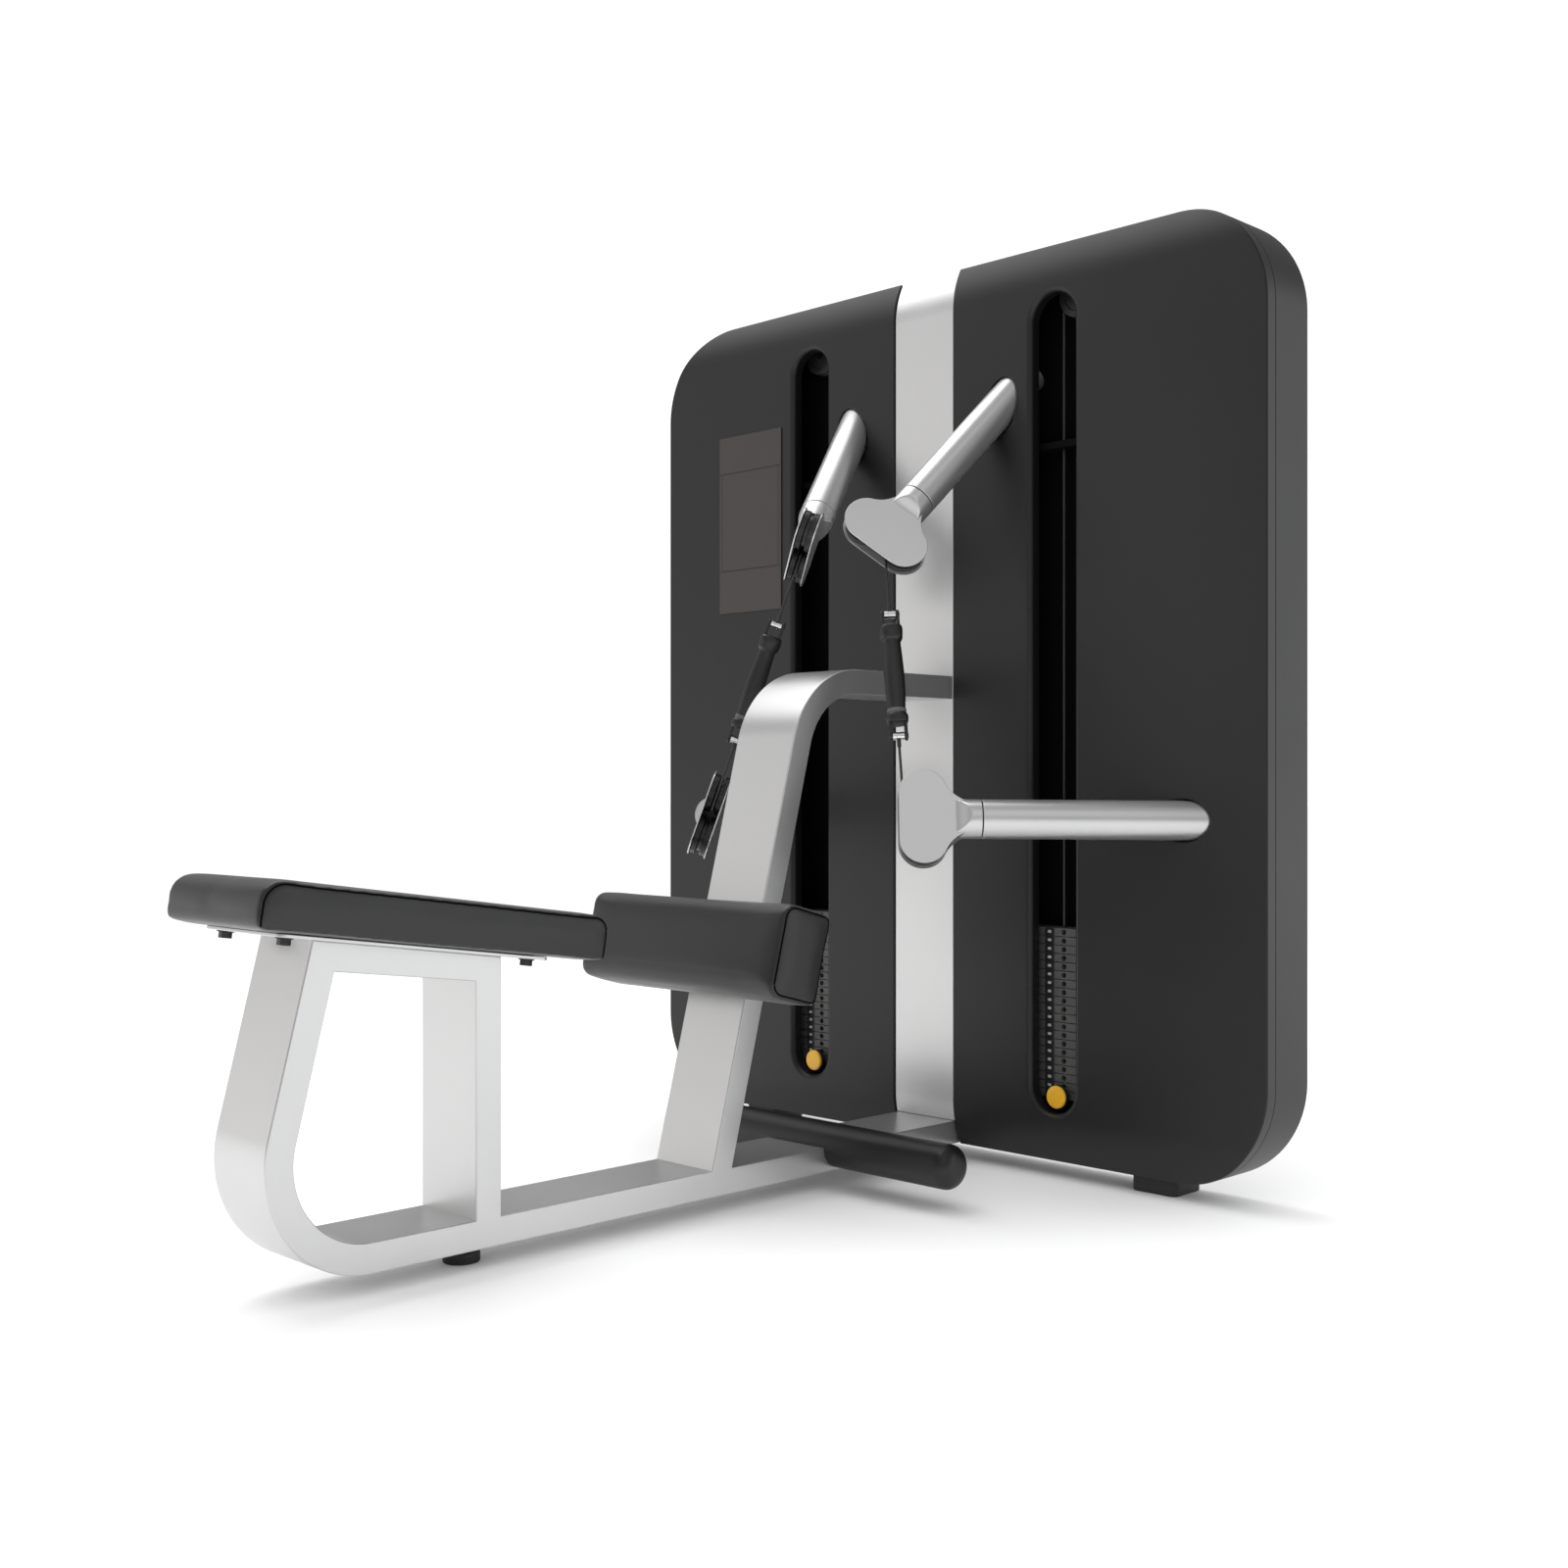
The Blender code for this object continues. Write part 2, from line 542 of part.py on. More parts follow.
def make_stack(side_name, side):
    """Weight stack, selector pin, guide rods, lifting cable and top pulley on one side."""
    top = STACK_BASE + PLATE_COUNT * PLATE_PITCH
    comb = [(STACK_BACK, STACK_BASE)]
    for i in range(PLATE_COUNT):
        low = STACK_BASE + i * PLATE_PITCH
        high = low + PLATE_PITCH - PLATE_SPLIT
        comb += [(STACK_FRONT, low), (STACK_FRONT, high)]
        if i < PLATE_COUNT - 1:
            comb += [(STACK_BACK - 0.004, high), (STACK_BACK - 0.004, high + PLATE_SPLIT)]
    comb.append((STACK_BACK, top - PLATE_SPLIT))
    x = side * SLOT_X
    stack = add(f"{side_name}_weight_stack", prism(comb, x - STACK_HALF, x + STACK_HALF), IRON)
    for i in range(PLATE_COUNT):
        z = STACK_BASE + (i + 0.5) * PLATE_PITCH - PLATE_SPLIT / 2
        hole = rod((x, STACK_FRONT - 0.01, z), (x, STACK_FRONT + 0.04, z), HOLE_RADIUS, 8)
        combine(stack, hole, "DIFFERENCE")
    pin_profile = [
        (0, 0), (0.022, 0), (0.0253, 0.003), (0.0253, 0.011), (0.0245, 0.0115), (0.0245, 0.020),
        (0.0045, 0.021), (0.0045, 0.065), (0, 0.065),
    ]
    z = STACK_BASE + 0.5 * PLATE_PITCH - PLATE_SPLIT / 2
    facing = Matrix.Translation((x, 0.011, z)) @ Matrix.Rotation(-pi / 2, 4, "X")
    add(f"{side_name}_selector_pin", turned(pin_profile, 16), YELLOW, facing)
    for offset, end in ((-ROD_OFFSET, "inner" if side > 0 else "outer"), (ROD_OFFSET, "outer" if side > 0 else "inner")):
        at = x + offset
        low, high = STACK_BASE, SHELF + 0.025
        add(f"{side_name}_{end}_guide_rod", rod((at, STACK_CABLE_Y, low), (at, STACK_CABLE_Y, high), ROD_RADIUS, 12), STEEL)
    way = side * STACK_CABLE_X
    run = rod((way, STACK_CABLE_Y, top + GAP), (way, STACK_CABLE_Y, TOP_PULLEY_Z), STACK_CABLE_RADIUS, 10)
    add(f"{side_name}_stack_cable", run, STEEL)
    rim, groove = TOP_PULLEY_RADIUS + 0.006, TOP_PULLEY_RADIUS - STACK_CABLE_RADIUS - GAP
    profile = [(0.0063, -0.010), (rim, -0.010), (groove, -0.005), (groove, 0.005), (rim, 0.010), (0.0063, 0.010)]
    centre = Vector((side * (STACK_CABLE_X + TOP_PULLEY_RADIUS), STACK_CABLE_Y, TOP_PULLEY_Z))
    facing = Matrix.Translation(centre) @ Matrix.Rotation(-pi / 2, 4, "X")
    add(f"{side_name}_top_pulley", turned(profile, closed=True), BLACK, facing)


def seat_underside(y):
    """Height of the seat plate's underside at y."""
    return SEAT_FRONT[1] + SEAT_SLOPE * (SEAT_FRONT[0] - y)


def tube_from(name, outline):
    tube = add(name, prism(outline, -TUBE_HALF, TUBE_HALF), SILVER)
    soften(tube, 0.002, 1, 50)


def make_bench_frame():
    """Base bar, tail leg, seat rail, seat post and inclined column, each a flat rectangular tube."""
    tail_y, tail_z = TAIL_CENTRE
    end = PLATE_FRONT - GAP
    tube_from("base_bar", [(tail_y + GAP, BAR_BOTTOM), (end, BAR_BOTTOM), (end, BAR_TOP), (tail_y + GAP, BAR_TOP)])
    lean = atan(TAIL_SLOPE)
    stop = 180 - lean * 180 / pi
    outer = arc(TAIL_CENTRE, BEND, 270, stop, BEND_STEPS)
    inner = arc(TAIL_CENTRE, BEND - TUBE, 270, stop, BEND_STEPS)

    def leg_top(foot):
        """Where a line up the leg from foot meets the seat plate."""
        y, z = foot
        rise = (seat_underside(y) - GAP - z) / (1 + SEAT_SLOPE * TAIL_SLOPE)
        return (y + TAIL_SLOPE * rise, z + rise)

    tube_from("tail_leg", outer + [leg_top(outer[-1]), leg_top(inner[-1])] + list(reversed(inner)))
    shoulder = leg_top(inner[-1])
    depth = 0.048

    def leg_edge(z):
        """The leg's inner edge at height z, with clearance."""
        return inner[-1][0] + TAIL_SLOPE * (z - inner[-1][1]) + 2 * GAP

    start_top = (leg_edge(shoulder[1]), shoulder[1])
    low = shoulder[1] - depth
    rail_end = POST[0] - GAP
    rail = [
        start_top, (leg_edge(low), low), (rail_end, seat_underside(rail_end) - GAP - depth),
        (rail_end, seat_underside(rail_end) - GAP),
    ]
    tube_from("seat_rail", rail)
    post = [(POST[0], BAR_TOP + GAP), (POST[1], BAR_TOP + GAP)]
    post += [(y, seat_underside(y) - GAP) for y in reversed(POST)]
    tube_from("seat_post", post)
    make_column()


def make_column():
    """The inclined column with its big bend and the level piece that meets the tower."""
    lean = atan(COLUMN_SLOPE)
    across = TUBE / cos(lean)
    corner_y = COLUMN_Y + COLUMN_SLOPE * (COLUMN_TOP - BAR_TOP)
    turn = pi / 2 - lean
    centre = (corner_y + BEND * tan(turn / 2), COLUMN_TOP - BEND)
    stop = 180 - lean * 180 / pi
    outer = arc(centre, BEND, stop, 90, BEND_STEPS)
    inner = arc(centre, BEND - TUBE, stop, 90, BEND_STEPS)
    foot = BAR_TOP + GAP
    end = STRIP_RECESS - GAP
    outline = [(COLUMN_Y, foot)] + outer + [(end, COLUMN_TOP), (end, COLUMN_TOP - TUBE)]
    outline += list(reversed(inner)) + [(COLUMN_Y + across, foot)]
    tube_from("inclined_column", outline)


def make_seat():
    """Seat plate, its four bolts and the seat cushion, all on the same slope."""
    angle = -atan(SEAT_SLOPE)
    frame = Matrix.Translation((0, *SEAT_FRONT)) @ Matrix.Rotation(angle, 4, "X")
    half, length, thick = SEAT_PLATE
    plate = add("seat_plate", block((-half, -length, 0), (half, 0, thick)), SILVER, frame)
    soften(plate, 0.0015, 1)
    washer = [(0, 0.0), (0.0148, 0.0), (0.0148, -0.002), (0.011, -0.002), (0.011, -0.0125), (0, -0.0125)]
    for number, (x, y) in enumerate(((-0.097, -0.030), (0.097, -0.030), (-0.097, -0.515), (0.097, -0.515)), 1):
        at = frame @ Matrix.Translation((x, y, -GAP))
        add(f"seat_bolt_{number}", turned(washer, 12), BLACK, at)
    half, length, thick = SEAT_PAD
    low = SEAT_PLATE[2] + GAP
    start = SEAT_PAD_OVERHANG
    pad = add("seat_pad", block((-half, start - length, low), (half, start, low + thick)), LEATHER, frame)
    soften(pad, 0.026, 3)


def make_knee_pad():
    lean = atan(COLUMN_SLOPE)
    half, depth, height = KNEE_PAD
    y = COLUMN_Y + COLUMN_SLOPE * (KNEE_PAD_Z - BAR_TOP)
    frame = Matrix.Translation((0, y, KNEE_PAD_Z)) @ Matrix.Rotation(-lean, 4, "X")
    pad = add("knee_pad", block((-half, -depth - GAP, -height / 2), (half, -GAP, height / 2)), LEATHER, frame)
    soften(pad, 0.028, 3)


def make_foot_roller():
    """The padded foot bar that lies across the base bar and is notched over it."""
    y, z, radius, half = ROLLER
    profile = [(0, half)] + [(r, h) for r, h in arc((radius - 0.03, half - 0.03), 0.03, 90, 0, 4)]
    profile += [(r, -h) for r, h in reversed(profile)]
    matrix = Matrix.Translation((0, y, z)) @ Matrix.Rotation(pi / 2, 4, "Y")
    roller = add("foot_roller", turned(profile, 28), LEATHER, matrix)
    notch = block((-TUBE_HALF - GAP, y - 0.1, 0), (TUBE_HALF + GAP, y + 0.1, BAR_TOP + GAP))
    combine(roller, notch, "DIFFERENCE", Matrix.Identity(4))


def make_bench_foot():
    height = BAR_BOTTOM - GAP
    radius = BENCH_FOOT_RADIUS
    profile = [(0, height), (radius * 0.6, height), (radius * 0.6, 0.024), (radius, 0.020), (radius, 0.003),
               (radius - 0.003, 0), (0, 0)]
    add("bench_foot", turned(profile, 20), RUBBER, Matrix.Translation((0, BENCH_FOOT_Y, 0)))


def build():
    for side_name, side in (("left", -1), ("right", 1)):
        make_shell(f"{side_name}_front_shell", side)
        make_cable_side(side_name, side)
        make_stack(side_name, side)
    make_rear_cover()
    make_strip()
    make_placard()
    make_frame_plate()
    make_bench_frame()
    make_seat()
    make_knee_pad()
    make_foot_roller()
    make_bench_foot()


build()
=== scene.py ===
# %% [markdown]
# # A seated cable row and pulldown station
# The real machine is a flat rounded tower that hides two weight stacks. Four round arms leave its front and
# carry swivelling pulley heads, a cable with a handle runs between the heads on each side, and a bench frame
# of flat rectangular tube runs out along the middle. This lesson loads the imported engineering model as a
# frame that never moves, and builds the finished surfaces around it, piece by piece.

# %% Load the frame
from math import atan, cos, pi, radians, sin, sqrt, tan

import bmesh
import bpy
from mathutils import Matrix, Vector
from mathutils.bvhtree import BVHTree
import numpy as np


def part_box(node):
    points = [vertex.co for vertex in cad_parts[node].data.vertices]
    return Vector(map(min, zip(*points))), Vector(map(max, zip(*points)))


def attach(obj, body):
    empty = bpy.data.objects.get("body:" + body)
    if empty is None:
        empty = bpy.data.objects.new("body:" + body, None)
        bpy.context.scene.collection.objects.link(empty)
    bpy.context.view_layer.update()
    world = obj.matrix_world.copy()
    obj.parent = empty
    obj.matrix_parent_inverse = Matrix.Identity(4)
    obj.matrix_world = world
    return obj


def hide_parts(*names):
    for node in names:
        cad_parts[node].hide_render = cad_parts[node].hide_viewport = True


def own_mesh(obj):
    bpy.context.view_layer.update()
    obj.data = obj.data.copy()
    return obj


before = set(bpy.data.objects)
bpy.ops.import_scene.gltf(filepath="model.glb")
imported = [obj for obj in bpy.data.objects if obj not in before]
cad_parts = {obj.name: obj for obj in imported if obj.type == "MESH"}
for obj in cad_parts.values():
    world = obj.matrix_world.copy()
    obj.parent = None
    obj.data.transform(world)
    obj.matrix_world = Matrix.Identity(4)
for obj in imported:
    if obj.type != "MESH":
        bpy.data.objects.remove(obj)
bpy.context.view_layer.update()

# %% [markdown]
# ## The driving sizes
# Most places are read from the frame's own boxes. The rest are the few sizes that the engineering model was
# drawn from: radii, slopes and centres. The station is described from the tower's front face, so one vector,
# DATUM, carries every point to its place in the row.

# %% Sizes of the tower, arms, heads and bench
DATUM = Vector((0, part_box("right_front_shell")[0].y, 0))
TOWER_LOW, TOWER_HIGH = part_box("rear_cover")
TOWER_HALF = TOWER_HIGH.x
TOWER_BOTTOM = TOWER_LOW.z
TOWER_TOP = TOWER_HIGH.z
TOWER_DEPTH = TOWER_HIGH.y - DATUM.y
SEAM_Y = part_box("right_front_shell")[1].y - DATUM.y
SHELL_INNER_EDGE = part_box("right_front_shell")[0].x
CORNER_RADIUS = 0.22
ROLL_RADIUS = 0.21
ROLL_HEIGHT = 0.102
WALL = 0.004
STRIP_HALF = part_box("column_strip")[1].x
STRIP_RECESS = 0.003
SLOT_X = 0.367
SLOT_HALF = 0.057
SLOT_BOTTOM = 0.1447
SLOT_TOP = 1.931
ARM_RADIUS = 0.0405
ARM_BORE = 0.036
UPPER_HEAD = Vector((0.123, -0.270, 1.397))
UPPER_ROOT = Vector((0.223, 0.0, 1.700))
LOWER_HEAD = Vector((0.320, -0.375, 0.791))
LOWER_ROOT = Vector((0.693, 0.0, 0.7875))
SEAM_DISTANCE = 0.118
SEAM_GAP = 0.002
CHEEK_LOBE = 0.050
CHEEK_OUTER = 0.0215
CHEEK_INNER = 0.0185
CABLE_RADIUS = 0.00275
CABLE_REACH = 0.040
UPPER_TAIL = 0.015
LOWER_TAIL = 0.036
HANDLE_Z = 1.0915
PIN_DISTANCE = 0.138
PIN_RADIUS = 0.0085
PIN_HALF = 0.0132
PLATE_COUNT = 20
PLATE_PITCH = 0.0188
PLATE_SPLIT = 0.0006
TUBE_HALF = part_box("base_bar")[1].x
TUBE = 0.053
BAR_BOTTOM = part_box("base_bar")[0].z
BAR_TOP = 0.0916
BEND = 0.200
TAIL_CENTRE = (-1.517, 0.2389)
TAIL_SLOPE = 0.253
COLUMN_Y = -0.742
COLUMN_SLOPE = 0.2657
COLUMN_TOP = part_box("inclined_column")[1].z
POST = (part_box("seat_post")[0].y - DATUM.y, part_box("seat_post")[1].y - DATUM.y)
SEAT_FRONT = (-1.178, 0.544)
SEAT_SLOPE = 0.140
SEAT_PLATE = (0.125, 0.540, 0.006)
SEAT_PAD = (0.160, 0.707, 0.086)
SEAT_PAD_OVERHANG = 0.108
KNEE_PAD = (0.294, 0.138, 0.190)
KNEE_PAD_Z = 0.514
print("tower front at y =", round(DATUM.y, 4), "half width", round(TOWER_HALF, 3))

# %% [markdown]
# ## A small language for finishes
# Painted, moulded and sewn surfaces are never one flat colour. Each finish below is a node tree, and writing
# such trees by hand is long. The class Number wraps one output socket, so that ordinary Python arithmetic
# adds the Math nodes, and the class Finish holds a material and one method that makes any other node.

# %% Shader arithmetic
class Number:
    """An output socket that can be added, multiplied and compared like a number."""

    def __init__(self, finish, socket):
        self.finish = finish
        self.socket = socket

    def maths(self, operation, first, second=0.0):
        return self.finish.node("ShaderNodeMath", {"operation": operation}, {0: first, 1: second})

    def __add__(self, other):
        return self.maths("ADD", self, other)

    def __radd__(self, other):
        return self.maths("ADD", other, self)

    def __sub__(self, other):
        return self.maths("SUBTRACT", self, other)

    def __rsub__(self, other):
        return self.maths("SUBTRACT", other, self)

    def __mul__(self, other):
        return self.maths("MULTIPLY", self, other)

    def __rmul__(self, other):
        return self.maths("MULTIPLY", other, self)

    def __truediv__(self, other):
        return self.maths("DIVIDE", self, other)

    def __rtruediv__(self, other):
        return self.maths("DIVIDE", other, self)

    def __pow__(self, other):
        return self.maths("POWER", self, other)

    def clamped(self):
        held = self.finish.node("ShaderNodeClamp", {}, {0: self})
        return held


class Finish:
    """A material with one Principled shader, and a method that adds any node to it."""

    def __init__(self, name, colour, roughness, metallic=0.0, **constants):
        self.material = bpy.data.materials.new(name)
        self.material.use_nodes = True
        self.tree = self.material.node_tree
        self.shader = self.tree.nodes["Principled BSDF"]
        self.shader.inputs["Base Color"].default_value = (*colour, 1)
        self.shader.inputs["Roughness"].default_value = roughness
        self.shader.inputs["Metallic"].default_value = metallic
        for socket, value in constants.items():
            self.shader.inputs[socket.replace("_", " ")].default_value = value
        self.place = self.node("ShaderNodeTexCoord", output="Object")

    def node(self, kind, settings=None, inputs=None, output=0):
        made = self.tree.nodes.new(kind)
        for key, value in (settings or {}).items():
            setattr(made, key, value)
        for key, value in (inputs or {}).items():
            if isinstance(value, Number):
                self.tree.links.new(value.socket, made.inputs[key])
            else:
                made.inputs[key].default_value = value
        return Number(self, made.outputs[output])

    def feed(self, socket, value):
        self.tree.links.new(value.socket, self.shader.inputs[socket])

    def noise(self, scale, detail=3.0, roughness=0.5, place=None):
        wanted = {"Vector": place or self.place, "Scale": scale, "Detail": detail, "Roughness": roughness}
        return self.node("ShaderNodeTexNoise", {}, wanted)

    def cells(self, scale, feature="F1", place=None):
        wanted = {"Vector": place or self.place, "Scale": scale}
        return self.node("ShaderNodeTexVoronoi", {"feature": feature}, wanted)

    def stretched(self, x, y, z):
        wanted = {"Vector": self.place, "Scale": (x, y, z)}
        return self.node("ShaderNodeMapping", {}, wanted)

    def between(self, amount, first, second):
        """A colour between two colours."""
        wanted = {0: amount, 6: (*first, 1), 7: (*second, 1)}
        return self.node("ShaderNodeMix", {"data_type": "RGBA"}, wanted, output=2)

    def relief(self, height, distance, strength=1.0):
        """A bump that feeds the shader's normal."""
        wanted = {"Strength": strength, "Distance": distance, "Height": height}
        self.feed("Normal", self.node("ShaderNodeBump", {}, wanted))


print("finishes read", "Object", "coordinates, so their grain stays with each piece")

# %% [markdown]
# ## The finishes
# The tower's shells are moulded plastic with a fine even grain and the faint cloudiness that handling leaves.
# The arms and the bench are steel under a metallic silver powder coat, whose surface has a very fine orange
# peel. The cushions are grained black vinyl.

# %% Moulded charcoal shell
def moulded_shell():
    finish = Finish("charcoal_shell", (0.006, 0.0055, 0.0058), 0.42, Specular_IOR_Level=0.42)
    cloud = finish.noise(3.1, 4.0)
    grain = finish.noise(1100.0, 2.0)
    pits = finish.cells(620.0)
    finish.feed("Base Color", finish.between(cloud, (0.0042, 0.0037, 0.0039), (0.0075, 0.0067, 0.0070)))
    finish.feed("Roughness", 0.36 + cloud * 0.10 + grain * 0.04)
    finish.relief(grain * 0.6 + pits * 0.4, 0.00012, 0.35)
    return finish.material


# %% Silver powder coat
def powder_coat():
    finish = Finish("silver_powder_coat", (0.58, 0.58, 0.58), 0.30, 0.82)
    flake = finish.cells(2600.0)
    peel = finish.noise(420.0, 2.0)
    wipe = finish.noise(5.0, 5.0, 0.6)
    finish.feed("Base Color",
                finish.between(flake * 0.5 + wipe * 0.5, (0.53, 0.53, 0.53), (0.63, 0.63, 0.63)))
    finish.feed("Roughness", 0.25 + wipe * 0.09 + flake * 0.05)
    finish.relief(peel + flake * 0.15, 0.00006, 0.30)
    return finish.material


# %% Black plastics, cable and rubber
def moulded_black(name, shade, roughness, grain_scale, depth):
    finish = Finish(name, (shade, shade, shade), roughness)
    grain = finish.noise(grain_scale, 3.0)
    smear = finish.noise(14.0, 4.0)
    light = (shade * 1.5, shade * 1.5, shade * 1.52)
    finish.feed("Base Color", finish.between(smear, (shade, shade, shade), light))
    finish.feed("Roughness", roughness - 0.05 + smear * 0.12 + grain * 0.04)
    finish.relief(grain, depth, 0.5)
    return finish.material


def braided_cable():
    finish = Finish("coated_cable", (0.012, 0.012, 0.012), 0.30, Coat_Weight=0.2)
    strands = finish.node("ShaderNodeTexWave", {"bands_direction": "DIAGONAL"},
                          {"Vector": finish.place, "Scale": 160.0, "Distortion": 0.4})
    dust = finish.noise(60.0, 3.0)
    finish.feed("Base Color", finish.between(dust, (0.010, 0.010, 0.010), (0.020, 0.020, 0.021)))
    finish.feed("Roughness", 0.24 + dust * 0.16)
    finish.relief(strands, 0.00015, 0.4)
    return finish.material


# %% Bright steel
def turned_steel():
    finish = Finish("turned_steel", (0.72, 0.72, 0.72), 0.22, 1.0)
    turning = finish.noise(900.0, 1.0, place=finish.stretched(1.0, 1.0, 4.0))
    film = finish.noise(30.0, 3.0)
    finish.feed("Base Color", finish.between(film, (0.66, 0.66, 0.66), (0.78, 0.78, 0.78)))
    finish.feed("Roughness", 0.16 + turning * 0.12 + film * 0.05)
    finish.relief(turning, 0.00003, 0.4)
    return finish.material


# %% Grained vinyl
def grained_vinyl():
    finish = Finish("black_vinyl", (0.020, 0.020, 0.021), 0.42, Sheen_Weight=0.12, Sheen_Roughness=0.4)
    warp = finish.noise(60.0, 2.0)
    pebbles = finish.cells(760.0, "SMOOTH_F1")
    creases = finish.cells(380.0, "DISTANCE_TO_EDGE")
    fold = (creases * 9.0).clamped()
    patina = finish.noise(7.0, 4.0)
    finish.feed("Base Color",
                finish.between(patina * 0.7 + warp * 0.3, (0.0055, 0.0054, 0.0057), (0.0092, 0.0091, 0.0096)))
    finish.feed("Roughness", 0.36 + patina * 0.12 - fold * 0.04)
    finish.relief(fold * 0.7 + pebbles * 0.3, 0.00022, 0.45)
    return finish.material


# %% Iron plates, knob, labels and panel
def black_iron():
    finish = Finish("black_iron", (0.060, 0.060, 0.060), 0.50, 0.0)
    cast = finish.noise(330.0, 4.0, 0.6)
    rub = finish.noise(24.0, 3.0)
    finish.feed("Base Color", finish.between(rub, (0.045, 0.045, 0.045), (0.085, 0.084, 0.082)))
    finish.feed("Roughness", 0.42 + cast * 0.18)
    finish.relief(cast, 0.00018, 0.5)
    return finish.material


def yellow_knob():
    finish = Finish("yellow_knob", (0.70, 0.38, 0.012), 0.34, Coat_Weight=0.1)
    tint = finish.noise(40.0, 3.0)
    finish.feed("Base Color", finish.between(tint, (0.60, 0.31, 0.008), (0.68, 0.38, 0.012)))
    finish.feed("Roughness", 0.26 + tint * 0.10)
    finish.relief(finish.noise(700.0), 0.00004, 0.4)
    return finish.material


def white_label():
    finish = Finish("white_label", (0.62, 0.62, 0.61), 0.5)
    print_wear = finish.noise(220.0, 4.0)
    finish.feed("Base Color", finish.between(print_wear, (0.24, 0.24, 0.24), (0.48, 0.48, 0.47)))
    finish.feed("Roughness", 0.42 + print_wear * 0.15)
    return finish.material


def dark_acrylic(name, shade):
    finish = Finish(name, shade, 0.36)
    haze = finish.noise(9.0, 4.0)
    finish.feed("Base Color", finish.between(haze, shade, tuple(c * 1.25 for c in shade)))
    finish.feed("Roughness", 0.32 + haze * 0.10)
    return finish.material


SHELL = moulded_shell()
SILVER = powder_coat()
NYLON = moulded_black("black_nylon", 0.010, 0.34, 500.0, 0.00006)
# Near-black and almost without gloss: partly the frame plate's own dark paint, partly painted shade that
# keeps the inside of the tower dark; the steel guide rods take it too.
DARK_PAINT_AND_PAINTED_SHADE = moulded_black("black_paint_and_painted_shade", 0.0012, 0.80, 700.0, 0.00008)
DARK_PAINT_AND_PAINTED_SHADE.node_tree.nodes["Principled BSDF"].inputs["Specular IOR Level"].default_value = 0.12
# Near-black knob collar: partly a real dark collar, partly painted shade over the side of the yellow knob.
KNOB_COLLAR_AND_SHADE = moulded_black("knob_collar_and_painted_shade", 0.010, 0.5, 500.0, 0.00006)
GRIP = moulded_black("grip_rubber", 0.0060, 0.36, 800.0, 0.00010)
BAND = moulded_black("grip_band", 0.060, 0.45, 600.0, 0.00006)
FOOT = moulded_black("foot_rubber", 0.014, 0.60, 450.0, 0.00015)
FOAM = moulded_black("roller_skin", 0.0042, 0.38, 380.0, 0.00012)
BOLT_BLACK = moulded_black("bolt_black_oxide", 0.012, 0.35, 900.0, 0.00005)
CABLE = braided_cable()
STEEL = turned_steel()
VINYL = grained_vinyl()
IRON = black_iron()
YELLOW = yellow_knob()
LABEL = white_label()
PANEL = dark_acrylic("dark_panel", (0.0250, 0.0200, 0.0180))
PANEL_LINE = dark_acrylic("dark_panel_line", (0.008, 0.007, 0.006))
THREAD = moulded_black("seam_thread", 0.001, 0.8, 900.0, 0.00005)
THREAD.node_tree.nodes["Principled BSDF"].inputs["Specular IOR Level"].default_value = 0.05
print("finishes:", len(bpy.data.materials))

# %% [markdown]
# ## Shape helpers
# Nearly every part here is one of three things: a profile turned about an axis, a row of rings joined into a
# skin, or a flat outline given thickness with rounded edges. Three helpers cover them. Rounded edges matter
# more than anything else for realism, because each one catches a thin line of light.

# %% Outlines
def arc(centre, radius, start, end, steps):
    """Points on a circle between two angles in degrees."""
    return [
        (centre[0] + radius * cos(radians(start + (end - start) * i / steps)),
         centre[1] + radius * sin(radians(start + (end - start) * i / steps)))
        for i in range(steps + 1)
    ]


def anticlockwise(outline):
    turn = sum(a[0] * b[1] - b[0] * a[1] for a, b in zip(outline, outline[1:] + outline[:1]))
    return list(outline) if turn > 0 else list(reversed(outline))


def drawn_in(outline, distance):
    """An anticlockwise outline with each corner moved inwards by distance."""
    moved = []
    for before, here, after in zip(outline[-1:] + outline[:-1], outline, outline[1:] + outline[:1]):
        one = (Vector(here) - Vector(before)).normalized()
        two = (Vector(after) - Vector(here)).normalized()
        left = Vector((-one.y - two.y, one.x + two.x)).normalized()
        share = max(left.dot(Vector((-one.y, one.x))), 0.35)
        moved.append(tuple(Vector(here) + left * (distance / share)))
    return moved


def edge_profile(edge, front, back, steps=3, back_edge=None):
    """Pairs (inset, depth) round the front edge, straight back, and round the back edge."""
    rear = edge if back_edge is None else back_edge
    pairs = []
    for i in range(steps + 1):
        angle = pi / 2 * i / steps
        pairs.append((edge * (1 - sin(angle)), front + edge * (1 - cos(angle))))
    if rear == 0:
        return pairs + [(0, back)]
    for i in range(steps + 1):
        angle = pi / 2 * i / steps
        pairs.append((rear * (1 - cos(angle)), back - rear * (1 - sin(angle))))
    return pairs


# %% Skins
def link(name, mesh, material):
    mesh.name = name
    mesh.materials.clear()
    mesh.materials.append(material)
    piece = bpy.data.objects.new(name, mesh)
    bpy.context.scene.collection.objects.link(piece)
    return piece


def mesh_of(work, name="skin"):
    bmesh.ops.remove_doubles(work, verts=work.verts, dist=2e-6)
    bmesh.ops.recalc_face_normals(work, faces=work.faces)
    mesh = bpy.data.meshes.new(name)
    work.to_mesh(mesh)
    work.free()
    return mesh


def join_rings(work, layers, closed=False):
    following = layers[1:] + (layers[:1] if closed else [])
    for low, high in zip(layers, following):
        for i in range(len(low)):
            j = (i + 1) % len(low)
            work.faces.new((low[i], low[j], high[j], high[i]))


def loft(rings, closed=False):
    """A closed skin through rings that have the same number of points."""
    work = bmesh.new()
    layers = [[work.verts.new(point) for point in ring] for ring in rings]
    join_rings(work, layers, closed)
    if not closed:
        for layer in (layers[0], layers[-1]):
            if (layer[0].co - layer[len(layer) // 2].co).length > 1e-6:
                work.faces.new(layer)
    return mesh_of(work)


